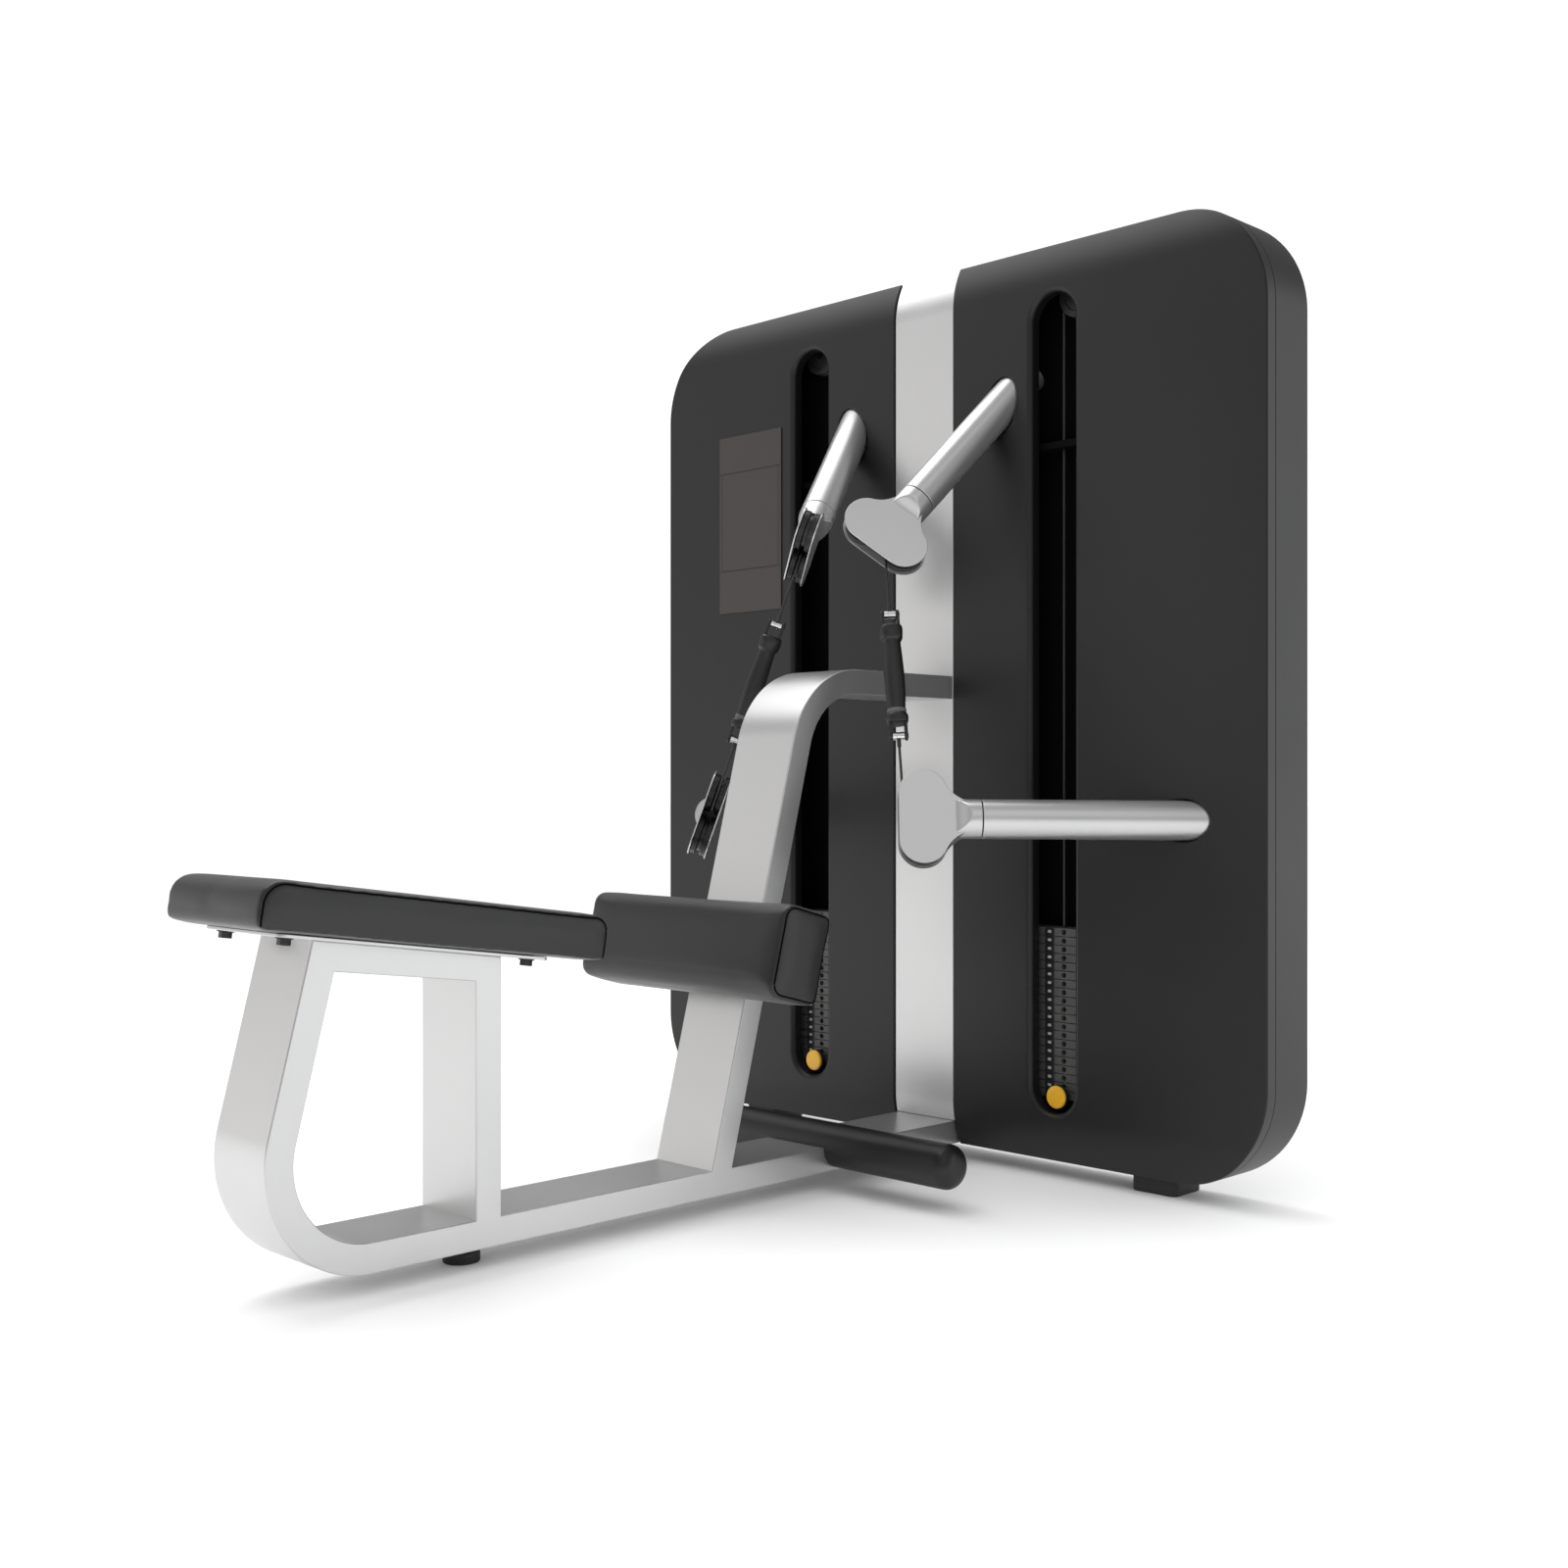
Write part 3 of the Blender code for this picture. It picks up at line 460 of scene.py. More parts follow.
def turned(profile, matrix, segments=48, closed=False):
    """A profile of (radius, height) points turned about matrix's Z axis."""
    rings = []
    for radius, height in profile:
        turns = [2 * pi * i / segments for i in range(segments)]
        rings.append([matrix @ Vector((radius * cos(t), radius * sin(t), height)) for t in turns])
    return loft(rings, closed)


def sheet_solid(loops, place):
    """A flat solid with holes.

    Each loop is (outline(inset, depth), profile). place turns (u, v, depth) into a point.
    """
    work = bmesh.new()
    fronts, backs = [], []
    for outline, profile in loops:
        layers = []
        for inset, depth in profile:
            layers.append([work.verts.new(place(u, v, depth)) for u, v in outline(inset, depth)])
        join_rings(work, layers)
        for layer, edges in ((layers[0], fronts), (layers[-1], backs)):
            for i in range(len(layer)):
                edges.append(work.edges.get((layer[i - 1], layer[i])))
    bmesh.ops.triangle_fill(work, use_beauty=True, use_dissolve=False, edges=fronts)
    bmesh.ops.triangle_fill(work, use_beauty=True, use_dissolve=False, edges=backs)
    return mesh_of(work)


def slab(outline, holes, front, back, edge, place, steps=3):
    """An outline and its holes given thickness between front and back, with rounded edges."""
    profile = edge_profile(edge, front, back, steps)
    shape = anticlockwise(outline)
    loops = [(lambda inset, depth: drawn_in(shape, inset), profile)]
    for hole in holes:
        ring = anticlockwise(hole)
        loops.append((lambda inset, depth, ring=ring: drawn_in(ring, -inset), profile))
    return sheet_solid(loops, place)


# %% Shading, cutting and settling
def plain_mesh(piece):
    """The evaluated mesh of a piece, with its modifiers in it."""
    bpy.context.view_layer.update()
    graph = bpy.context.evaluated_depsgraph_get()
    return bpy.data.meshes.new_from_object(piece.evaluated_get(graph))


def shaded(piece, angle=38):
    """Smooth shading that stays flat on flat faces, with sharp edges where they are steep."""
    piece.data.shade_smooth()
    piece.data.set_sharp_from_angle(angle=radians(angle))
    modifier = piece.modifiers.new("normals", "WEIGHTED_NORMAL")
    modifier.keep_sharp = True
    mesh = plain_mesh(piece)
    piece.modifiers.clear()
    piece.data = mesh
    return piece


def carve(piece, tool_mesh, operation="DIFFERENCE"):
    """Cuts, joins or intersects a mesh, once, and leaves no modifier."""
    tool = link("tool", tool_mesh, SHELL)
    modifier = piece.modifiers.new("carve", "BOOLEAN")
    modifier.operation = operation
    modifier.object = tool
    mesh = plain_mesh(piece)
    piece.modifiers.clear()
    piece.data = mesh
    bpy.data.objects.remove(tool)


def settle(piece, body, slot, *nodes):
    """The piece rides on its body and stands for its nodes; slot is not used."""
    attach(piece, body)
    if nodes:
        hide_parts(*nodes)
    print(piece.name, "faces", len(piece.data.polygons))
    return piece


def block(low, high):
    corners = [(low[0], low[1]), (high[0], low[1]), (high[0], high[1]), (low[0], high[1])]
    return loft([[Vector((x, y, low[2])) for x, y in corners], [Vector((x, y, high[2])) for x, y in corners]])


# %% [markdown]
# ## The tower's front shells
# Each shell is a shallow moulding: its front rolls back along the top and bottom edges, a long round-ended
# window shows the weights, and the arms come through two slanting holes. A flat sheet with three holes is
# drawn first, cut across by level lines where the roll will be, and then bent back by one formula.

# %% The shell's outline, window and roll
def half_outline(inset, side):
    x = TOWER_HALF - CORNER_RADIUS
    radius = CORNER_RADIUS - inset
    low, high = TOWER_BOTTOM + CORNER_RADIUS, TOWER_TOP - CORNER_RADIUS
    outline = [(SHELL_INNER_EDGE + inset, TOWER_BOTTOM + inset)]
    outline += arc((x, low), radius, -90, 0, 28) + arc((x, high), radius, 0, 90, 28)
    outline.append((SHELL_INNER_EDGE + inset, TOWER_TOP - inset))
    return [(u * side, v) for u, v in outline]


def full_outline(inset):
    x = TOWER_HALF - CORNER_RADIUS
    radius = CORNER_RADIUS - inset
    low, high = TOWER_BOTTOM + CORNER_RADIUS, TOWER_TOP - CORNER_RADIUS
    return (
        arc((x, low), radius, -90, 0, 28) + arc((x, high), radius, 0, 90, 28)
        + arc((-x, high), radius, 90, 180, 28) + arc((-x, low), radius, 180, 270, 28)
    )


def window(margin, side):
    radius = SLOT_HALF + margin
    low, high = SLOT_BOTTOM + SLOT_HALF, SLOT_TOP - SLOT_HALF
    outline = arc((SLOT_X, low), radius, 180, 360, 32) + arc((SLOT_X, high), radius, 0, 180, 32)
    return [(u * side, v) for u, v in outline]


def arm_hole(root, away, margin, depth):
    """Where a round hole along the arm's own direction meets the plane at depth."""
    across = away.cross(Vector((0, 0, 1))).normalized()
    upward = across.cross(away).normalized()
    points = []
    for i in range(56):
        turn = 2 * pi * i / 56
        point = root + (across * cos(turn) + upward * sin(turn)) * (ARM_RADIUS + 0.0025 + margin)
        point += away * ((depth - point.y) / away.y)
        points.append((point.x, point.z))
    return points


def roll(z):
    into = max(TOWER_BOTTOM + ROLL_HEIGHT - z, z - (TOWER_TOP - ROLL_HEIGHT), 0)
    return ROLL_RADIUS - sqrt(ROLL_RADIUS**2 - min(into, ROLL_HEIGHT) ** 2)


def rolled_back(mesh):
    """Cuts the flat shell along level lines and bends its front back."""
    work = bmesh.new()
    work.from_mesh(mesh)
    for i in range(1, 19):
        step = ROLL_HEIGHT * i / 18
        for z in (TOWER_BOTTOM + step, TOWER_TOP - step):
            everything = work.verts[:] + work.edges[:] + work.faces[:]
            bmesh.ops.bisect_plane(work, geom=everything, dist=1e-6, plane_co=(0, 0, z), plane_no=(0, 0, 1))
    for vertex in work.verts:
        back = roll(vertex.co.z)
        vertex.co.y = DATUM.y + back + (vertex.co.y - DATUM.y) * (1 - back / SEAM_Y)
    return mesh_of(work)


def mirror(point, side):
    return Vector((point.x * side, point.y, point.z))


def heads_of(side):
    """Centre, outward direction and root of the upper and the lower head on one side."""
    found = {}
    for level, centre, root in (("upper", UPPER_HEAD, UPPER_ROOT), ("lower", LOWER_HEAD, LOWER_ROOT)):
        found[level] = (mirror(centre, side), mirror(centre - root, side).normalized(), mirror(root, side))
    return found


# %% Build both shells
LIP = 0.013
SHELL_EDGE = 0.0035


def front_shell(side_name, side):
    def place(u, v, depth):
        return Vector((u, DATUM.y + depth, v))

    rim = edge_profile(SHELL_EDGE, 0, SEAM_Y, 4, back_edge=0)
    lip = edge_profile(LIP, 0, SEAM_Y, 7, back_edge=0)
    loops = [(lambda inset, depth: half_outline(inset, side), rim)]
    loops.append((lambda inset, depth: window(inset, side), lip))
    for _, tip, root in heads_of(side).values():
        collar = edge_profile(0.005, 0, SEAM_Y, 5, back_edge=0)
        loops.append((lambda inset, depth, root=root, tip=tip: arm_hole(root, -tip, inset, depth), collar))
    mesh = rolled_back(sheet_solid(loops, place))
    piece = shaded(link(f"{side_name}_shell_moulding", mesh, SHELL), 42)
    return settle(piece, "station", "charcoal_shell", f"{side_name}_front_shell")


for side_name, side in (("left", -1), ("right", 1)):
    front_shell(side_name, side)

# %% [markdown]
# ## The rear cover, the bright strip and the panel
# The rear cover is a deep tray with the same outline as the shells, and a fine groove where the two meet.
# The strip between the shells is bent sheet steel: it follows the roll, and its edges are folded to a tight
# radius.

# %% Rear cover
REAR_EDGE = 0.009
GROOVE = 0.0022


def rear_cover():
    def ring(inset, depth):
        return [Vector((x, DATUM.y + depth, z)) for x, z in full_outline(inset)]

    start = SEAM_Y + 0.0006
    rings = [ring(WALL, start), ring(GROOVE, start), ring(0.0006, start + GROOVE),
             ring(0, start + GROOVE * 1.6)]
    for inset, depth in edge_profile(REAR_EDGE, 0, 0.1, 6, back_edge=0)[-2::-1]:
        rings.append(ring(inset, TOWER_DEPTH - depth))
    inner = [ring(WALL + REAR_EDGE, TOWER_DEPTH - WALL), ring(WALL, TOWER_DEPTH - WALL - REAR_EDGE)]
    work = bmesh.new()
    layers = [[work.verts.new(p) for p in r] for r in rings]
    join_rings(work, layers)
    work.faces.new(layers[-1])
    inside = [[work.verts.new(p) for p in r] for r in inner]
    join_rings(work, inside + [layers[0]])
    work.faces.new(inside[0])
    piece = link("rear_cover_tray", mesh_of(work), SHELL)
    clear = TUBE_HALF + 0.001
    carve(piece, block((-clear, DATUM.y, 0), (clear, DATUM.y + 0.105, BAR_TOP + 0.001)))
    clear = STRIP_HALF + 0.001
    carve(piece,
          block((-clear, DATUM.y, TOWER_TOP - 0.02), (clear, DATUM.y + SEAM_Y + 0.005, TOWER_TOP + 0.1)))
    return settle(shaded(piece), "station", "charcoal_shell", "rear_cover")


rear_cover()


# %% Bright strip
def column_strip():
    low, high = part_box("column_strip")[0].z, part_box("column_strip")[1].z
    heights = [low + (TOWER_BOTTOM + ROLL_HEIGHT - low) * i / 10 for i in range(11)]
    heights += [TOWER_TOP - ROLL_HEIGHT + (high - TOWER_TOP + ROLL_HEIGHT) * i / 20 for i in range(21)]
    fold = 0.0016
    rings = []
    for z in heights:
        front = roll(z) + STRIP_RECESS
        section = arc((-STRIP_HALF + fold, front + fold), fold, 180, 270, 4)
        section += arc((STRIP_HALF - fold, front + fold), fold, 270, 360, 4)
        section += [(STRIP_HALF, front + 0.003), (-STRIP_HALF, front + 0.003)]
        rings.append([Vector((x, DATUM.y + y, z)) for x, y in section])
    piece = shaded(link("bright_column_strip", loft(rings), SILVER))
    return settle(piece, "station", "silver_paint", "column_strip")


column_strip()


# %% Blank instruction panel
def facing_plate(name, low, high, depth, edge, material, radius=0.004):
    """A thin plate on the tower's front, low and high in (x, z), depth from front to back."""
    corners = arc((high[0] - radius, low[1] + radius), radius, -90, 0, 5)
    corners += arc((high[0] - radius, high[1] - radius), radius, 0, 90, 5)
    corners += arc((low[0] + radius, high[1] - radius), radius, 90, 180, 5)
    corners += arc((low[0] + radius, low[1] + radius), radius, 180, 270, 5)
    mesh = slab(corners, [], depth[0], depth[1], edge, lambda u, v, d: Vector((u, DATUM.y + d, v)))
    return shaded(link(name, mesh, material))


panel_low, panel_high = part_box("placard_panel")
panel_height = panel_high.z - panel_low.z
panel = facing_plate(
    "panel_backing", (panel_low.x, panel_low.z), (panel_high.x, panel_high.z), (-0.0022, -0.0003), 0.0006,
                     PANEL_LINE)
settle(panel, "station", "dark_panel", "placard_panel")
bands = (("panel_foot", 0.0, 0.238, 0.0), ("panel_window", 0.243, 0.790, 0.010),
         ("panel_head", 0.795, 1.0, 0.0))
for name, start, end, inset in bands:
    low = (panel_low.x + 0.0012 + inset, panel_low.z + panel_height * start + 0.0012)
    high = (panel_high.x - 0.0012 - inset, panel_low.z + panel_height * end - 0.0012)
    piece = facing_plate(name, low, high, (-0.0030, -0.0010), 0.0005, PANEL, 0.003)
    settle(piece, "station", "dark_panel")
margin_low = panel_low.z + panel_height * 0.243
margin_high = panel_low.z + panel_height * 0.790
for name, low_x, high_x in (("panel_margin_1", panel_low.x + 0.0012, panel_low.x + 0.0104),
                            ("panel_margin_2", panel_high.x - 0.0104, panel_high.x - 0.0012)):
    piece = facing_plate(name, (low_x, margin_low), (high_x, margin_high), (-0.0030, -0.0010), 0.0005,
                         PANEL, 0.002)
    settle(piece, "station", "dark_panel")

# %% [markdown]
# ## Arms and pulley heads
# An arm is a round tube that stops at a fine seam, where the head's collar turns on it. The head's collar
# flows into two flat cheeks with round lobes. The flow is a loft whose section starts as a circle and is
# clipped flatter and flatter, and the gap for the pulleys is cut through it afterwards.

# %% Arms
def aim(start, direction):
    return Matrix.Translation(start) @ direction.to_track_quat("Z", "Y").to_matrix().to_4x4()


def arm(side_name, level, tip, centre):
    seam = centre - tip * (SEAM_DISTANCE + SEAM_GAP)
    deep = 0.1045 - ARM_RADIUS * sqrt(1 - tip.y**2)
    length = (deep - seam.y) / -tip.y
    edge = 0.0012
    profile = [(ARM_BORE, 0), (ARM_RADIUS - edge, 0)]
    profile += [(ARM_RADIUS - edge + edge * sin(radians(a)), edge - edge * cos(radians(a))) for a in (30,
                                                                                                      60, 90)]
    profile += [(ARM_RADIUS, length * i / 8) for i in range(1, 9)] + [(ARM_BORE, length)]
    mesh = turned(profile, aim(DATUM + seam, -tip), 72, closed=True)
    piece = shaded(link(f"{side_name}_{level}_arm_tube", mesh, SILVER))
    settle(piece, "station", "silver_paint", f"{side_name}_{level}_arm")


# %% Head frame and the cable's line
def cable_line(heads):
    """Start and end of the straight cable, where it crosses the two arm axes."""
    (upper, upper_tip, _), (lower, lower_tip, _) = heads["upper"], heads["lower"]
    reach_upper = reach_lower = 0.0
    for _ in range(25):
        start, end = upper + upper_tip * reach_upper, lower + lower_tip * reach_lower
        along = (end - start).normalized()
        cosine = upper_tip.dot(along)
        reach_upper = (CABLE_REACH - CHEEK_LOBE * cosine) / sqrt(1 - cosine**2)
        cosine = -lower_tip.dot(along)
        reach_lower = (CABLE_REACH - CHEEK_LOBE * cosine) / sqrt(1 - cosine**2)
    return start, end


def head_frame(centre, tip, cable):
    """X out of the arm, Y towards the pulley that guides the cable, Z across the cheeks."""
    across = tip.cross(cable).normalized()
    upward = across.cross(tip)
    place = DATUM + centre
    return Matrix((
        (tip.x, upward.x, across.x, place.x), (tip.y, upward.y, across.y, place.y),
        (tip.z, upward.z, across.z, place.z), (0, 0, 0, 1),
    ))


# %% The head itself
def cheek_outline():
    """Two round lobes with a straight nose between them and a waist towards the arm."""
    lobe = arc((0, CHEEK_LOBE), CHEEK_LOBE, 0, 150, 30)
    start, bend, end = Vector(lobe[-1]), Vector((-0.056, 0.044)), Vector((-0.091, 0.0320))
    waist = []
    for i in range(1, 11):
        t = i / 10
        waist.append(tuple(start * (1 - t) ** 2 + bend * 2 * t * (1 - t) + end * t**2))
    upper = lobe + waist
    return upper + [(x, -y) for x, y in reversed(upper)]


def collar_mesh(matrix):
    """The round collar, flowing into the flat of the cheeks."""
    rings = []
    edge = 0.0012
    stations = [(-SEAM_DISTANCE, ARM_RADIUS - edge), (-SEAM_DISTANCE + edge * 0.5, ARM_RADIUS - edge * 0.13)]
    stations += [(-SEAM_DISTANCE + edge, ARM_RADIUS), (-0.101, ARM_RADIUS)]
    for x, radius in stations:
        turns = [2 * pi * i / 72 for i in range(72)]
        rings.append([matrix @ Vector((x, radius * cos(t), radius * sin(t))) for t in turns])
    for i in range(1, 25):
        t = i / 24
        thick = ARM_RADIUS + (CHEEK_OUTER - 0.0004 - ARM_RADIUS) * t * t * (3 - 2 * t)
        ring = []
        for k in range(72):
            turn = 2 * pi * k / 72
            across = max(-thick, min(thick, ARM_RADIUS * sin(turn)))
            ring.append(matrix @ Vector((-0.101 + 0.040 * t, ARM_RADIUS * cos(turn), across)))
        rings.append(ring)
    return loft(rings)


def head(side_name, level, centre, tip, cable):
    matrix = head_frame(centre, tip, cable)
    flat = slab(cheek_outline(), [], -CHEEK_OUTER, CHEEK_OUTER, 0.0009,
                lambda u, v, d: matrix @ Vector((u, v, d)))
    piece = link(f"{side_name}_{level}_head_fork", flat, SILVER)
    carve(piece, collar_mesh(matrix), "UNION")
    gap = block((-0.052, -0.12, -CHEEK_INNER), (0.07, 0.12, CHEEK_INNER))
    gap.transform(matrix)
    carve(piece, gap)
    settle(shaded(piece, 36), f"{side_name}_{level}_head", "silver_paint", f"{side_name}_{level}_fork")
    liner = block((-0.0525, -0.0405, -CHEEK_INNER - 0.0003), (-0.0470, 0.0405, CHEEK_INNER + 0.0003))
    liner.transform(matrix)
    settle(link(f"{side_name}_{level}_fork_liner", liner, NYLON), f"{side_name}_{level}_head",
           "pulley_plastic")
    for role, y in (("guide", CHEEK_LOBE), ("idle", -CHEEK_LOBE)):
        at = matrix @ Matrix.Translation((0, y, 0))
        pulley(f"{side_name}_{level}_{role}", at)
        stud = turned([(0, -0.0184), (0.0058, -0.0184), (0.0058, 0.0184), (0, 0.0184)], at, 24)
        piece = shaded(link(f"{side_name}_{level}_{role}_axle", stud, STEEL))
        settle(piece, f"{side_name}_{level}_head", "bright_steel")


def pulley(name, matrix):
    rim, groove, half = 0.045, 0.036, 0.017
    profile = [(0.0063, -half + 0.001), (0.012, -half), (0.014, -half + 0.0025), (0.032, -half + 0.0025),
               (0.034, -half), (rim - 0.001, -half), (rim, -half + 0.001), (rim, -0.0115),
               (rim - 0.0012, -0.0110),
               (rim - 0.0012, -0.0100), (rim, -0.0095), (rim, -0.0066), (rim - 0.0015, -0.0050),
               (groove, -0.0036)]
    profile += [(r, -h) for r, h in reversed(profile)]
    piece = shaded(link(f"{name}_wheel_moulding", turned(profile, matrix, 56, closed=True), NYLON))
    settle(piece, f"{name}_wheel", "pulley_plastic", f"{name}_pulley")


# %% [markdown]
# ## Handles and their cables
# The handle is a hard rubber grip between two forked ends. A bright roller pin crosses each fork, and the
# cable is swaged on to it. The grip is not quite round: its section is a soft square that fills the hand, so
# it is lofted through superellipse rings and not turned.

# %% Grip, forks and pins
def soft_ring(matrix, z, x_radius, y_radius, power, count=56):
    ring = []
    for k in range(count):
        turn = 2 * pi * k / count
        c, s = cos(turn), sin(turn)
        x = x_radius * abs(c) ** power * (1 if c >= 0 else -1)
        y = y_radius * abs(s) ** power * (1 if s >= 0 else -1)
        ring.append(matrix @ Vector((x, y, z)))
    return ring


def grip(side_name, matrix):
    stations = [
        (-0.112, 0.0185, 0.9), (-0.1105, 0.0212, 0.8), (-0.105, 0.0232, 0.75), (-0.096, 0.0236, 0.78),
        (-0.091, 0.0222, 0.85), (-0.088, 0.0192, 0.9), (-0.084, 0.0180, 0.9), (-0.070, 0.0194, 0.88),
        (-0.040, 0.0216, 0.84), (-0.010, 0.0220, 0.82), (0.020, 0.0212, 0.84), (0.050, 0.0198, 0.86),
        (0.072, 0.0186, 0.88), (0.076, 0.0190, 0.88), (0.079, 0.0226, 0.82), (0.084, 0.0240, 0.76),
        (0.088, 0.0236, 0.76), (0.090, 0.0246, 0.74), (0.102, 0.0250, 0.72), (0.1085, 0.0240, 0.74),
        (0.112, 0.0205, 0.85),
    ]
    rings = [soft_ring(matrix, z, radius, radius * 0.94, power) for z, radius, power in stations]
    piece = link(f"{side_name}_grip", loft(rings), GRIP)
    subdivision = piece.modifiers.new("smooth", "SUBSURF")
    subdivision.levels = subdivision.render_levels = 1
    piece.data = plain_mesh(piece)
    piece.modifiers.clear()
    settle(shaded(piece, 50), f"{side_name}_handle_run", "grip_rubber", f"{side_name}_handle")
    band = [soft_ring(matrix, z, r, r * 0.94, 0.9) for z, r in
            ((-0.0885, 0.0186), (-0.0880, 0.0202), (-0.0800, 0.0202), (-0.0795, 0.0186))]
    piece = shaded(link(f"{side_name}_grip_band", loft(band), BAND))
    settle(piece, f"{side_name}_handle_run", "grip_rubber")


def fork_ends(side_name, matrix):
    for end, level in ((1, "upper"), (-1, "lower")):
        lug = arc((0, PIN_DISTANCE), 0.0105, 0, 180, 18) + [(-0.0125, 0.102), (0.0125, 0.102)]
        outline = [(y, z * end) for y, z in lug]
        for number, (low, high) in enumerate(((-0.0195, -0.0137), (0.0137, 0.0195)), 1):
            mesh = slab(outline, [], low, high, 0.0014, lambda u, v, d: matrix @ Vector((d, u, v)))
            piece = shaded(link(f"{side_name}_{level}_lug_{number}", mesh, GRIP))
            settle(piece, f"{side_name}_handle_run", "grip_rubber")
            facing = 1 if low > 0 else -1
            at = matrix @ Matrix.Translation((high if facing > 0 else low, 0, PIN_DISTANCE * end))
            at = at @ Matrix.Rotation(facing * pi / 2, 4, "Y")
            button = [(0, 0.0002), (0.0022, 0.0002), (0.0026, 0.0012), (0.0052, 0.0012), (0.0060, 0.0006),
                      (0.0060, -0.0010), (0, -0.0010)]
            piece = shaded(link(f"{side_name}_{level}_pin_head_{number}", turned(button, at, 24), BOLT_BLACK))
            settle(piece, f"{side_name}_handle_run", "black_bolt")
        at = matrix @ Matrix.Translation((0, 0, PIN_DISTANCE * end)) @ Matrix.Rotation(pi / 2, 4, "Y")
        roller = [(0, -PIN_HALF), (PIN_RADIUS - 0.0012, -PIN_HALF), (PIN_RADIUS, -PIN_HALF + 0.0012),
                  (PIN_RADIUS, -0.004), (PIN_RADIUS - 0.0006, -0.0034)]
        roller += [(r, -h) for r, h in reversed(roller)]
        piece = shaded(link(f"{side_name}_{level}_roller_pin", turned(roller, at, 40), STEEL))
        settle(piece, f"{side_name}_handle_run", "bright_steel", f"{side_name}_{level}_pin")


# %% Cable runs
def cable_run(side_name, level, start, end):
    """A straight coated rope with a swaged sleeve at the handle's end."""
    length = (end - start).length
    sleeve = 0.016
    profile = [(0, 0), (CABLE_RADIUS * 0.8, 0), (CABLE_RADIUS, 0.0006)]
    profile += [(CABLE_RADIUS, length * i / 40) for i in range(1, 36)]
    profile += [(CABLE_RADIUS, length - sleeve), (0.0040, length - sleeve + 0.0006),
                (0.0044, length - sleeve + 0.003),
                (0.0044, length - 0.002), (0.0036, length), (0, length)]
    mesh = turned(profile, aim(DATUM + start, end - start), 20)
    piece = shaded(link(f"{side_name}_{level}_cable_run", mesh, CABLE))
    settle(piece, f"{side_name}_handle_run", "cable", f"{side_name}_{level}_cable")


def cable_side(side_name, side):
    heads = heads_of(side)
    start, end = cable_line(heads)
    along = (end - start).normalized()
    for level, way in (("upper", along), ("lower", -along)):
        centre, tip, _ = heads[level]
        arm(side_name, level, tip, centre)
        head(side_name, level, centre, tip, way)
    middle = start + along * ((HANDLE_Z - start.z) / along.z)
    pin_axis = Vector((1, 1, 0))
    pin_axis = (pin_axis + along * -pin_axis.dot(along)).normalized()
    depth = (-along).cross(pin_axis)
    place = DATUM + middle
    matrix = Matrix((
        (pin_axis.x, depth.x, -along.x, place.x), (pin_axis.y, depth.y, -along.y, place.y),
        (pin_axis.z, depth.z, -along.z, place.z), (0, 0, 0, 1),
    ))
    grip(side_name, matrix)
    fork_ends(side_name, matrix)
    ends = {}
    for level, crossing, way in (("upper", start, along), ("lower", end, -along)):
        cosine = heads[level][1].dot(way)
        sine = sqrt(1 - cosine**2)
        reach = (CABLE_REACH - CHEEK_LOBE * cosine) / sine
        ends[level] = crossing + way * (CHEEK_LOBE * sine - reach * cosine)
    clear = PIN_DISTANCE + PIN_RADIUS + 0.0003
    cable_run(side_name, "upper", ends["upper"] - along * UPPER_TAIL, middle - along * clear)
    cable_run(side_name, "lower", ends["lower"] + along * LOWER_TAIL, middle + along * clear)


for side_name, side in (("left", -1), ("right", 1)):
    cable_side(side_name, side)

# %% [markdown]
# ## Weight stacks
# A stack is twenty equal cast plates on two guide rods. One plate is drawn once, with its stepped front, and
# Geometry Nodes repeat it up the stack at the plates' pitch. The same tree repeats the small white labels.
# It ends by making the copies real, since only real meshes leave the scene.

# %% What both trees share
def new_tree(name, sockets):
    """A tree with the given named inputs and one geometry output."""
    tree = bpy.data.node_groups.new(name, "GeometryNodeTree")
    for socket, kind in sockets:
        tree.interface.new_socket(socket, in_out="INPUT", socket_type=kind)
    tree.interface.new_socket("Geometry", in_out="OUTPUT", socket_type="NodeSocketGeometry")
    return tree, tree.nodes.new("NodeGroupInput")


def copies_on(tree, given, points):
    """Ends a tree: the pattern stands at every point, and the copies are made real and get their finish."""
    result = tree.nodes.new("NodeGroupOutput")
    pattern = tree.nodes.new("GeometryNodeObjectInfo")
    copies = tree.nodes.new("GeometryNodeInstanceOnPoints")
    real = tree.nodes.new("GeometryNodeRealizeInstances")
    painted = tree.nodes.new("GeometryNodeSetMaterial")
    join = tree.links.new
    join(given.outputs["Pattern"], pattern.inputs["Object"])
    join(points, copies.inputs["Points"])
    join(pattern.outputs["Geometry"], copies.inputs["Instance"])
    join(copies.outputs["Instances"], real.inputs["Geometry"])
    join(real.outputs["Geometry"], painted.inputs["Geometry"])
    join(given.outputs["Finish"], painted.inputs["Material"])
    join(painted.outputs["Geometry"], result.inputs["Geometry"])
    return tree


# %% The repeating tree
def repeat_tree():
    sockets = (("Copies", "NodeSocketInt"), ("Pitch", "NodeSocketFloat"), ("Start", "NodeSocketVector"),
               ("Pattern", "NodeSocketObject"), ("Finish", "NodeSocketMaterial"))
    tree, given = new_tree("repeat_upwards", sockets)
    line = tree.nodes.new("GeometryNodeMeshLine")
    step = tree.nodes.new("ShaderNodeCombineXYZ")
    join = tree.links.new
    join(given.outputs["Copies"], line.inputs["Count"])
    join(given.outputs["Start"], line.inputs["Start Location"])
    join(given.outputs["Pitch"], step.inputs["Z"])
    join(step.outputs["Vector"], line.inputs["Offset"])
    return copies_on(tree, given, line.outputs["Mesh"])


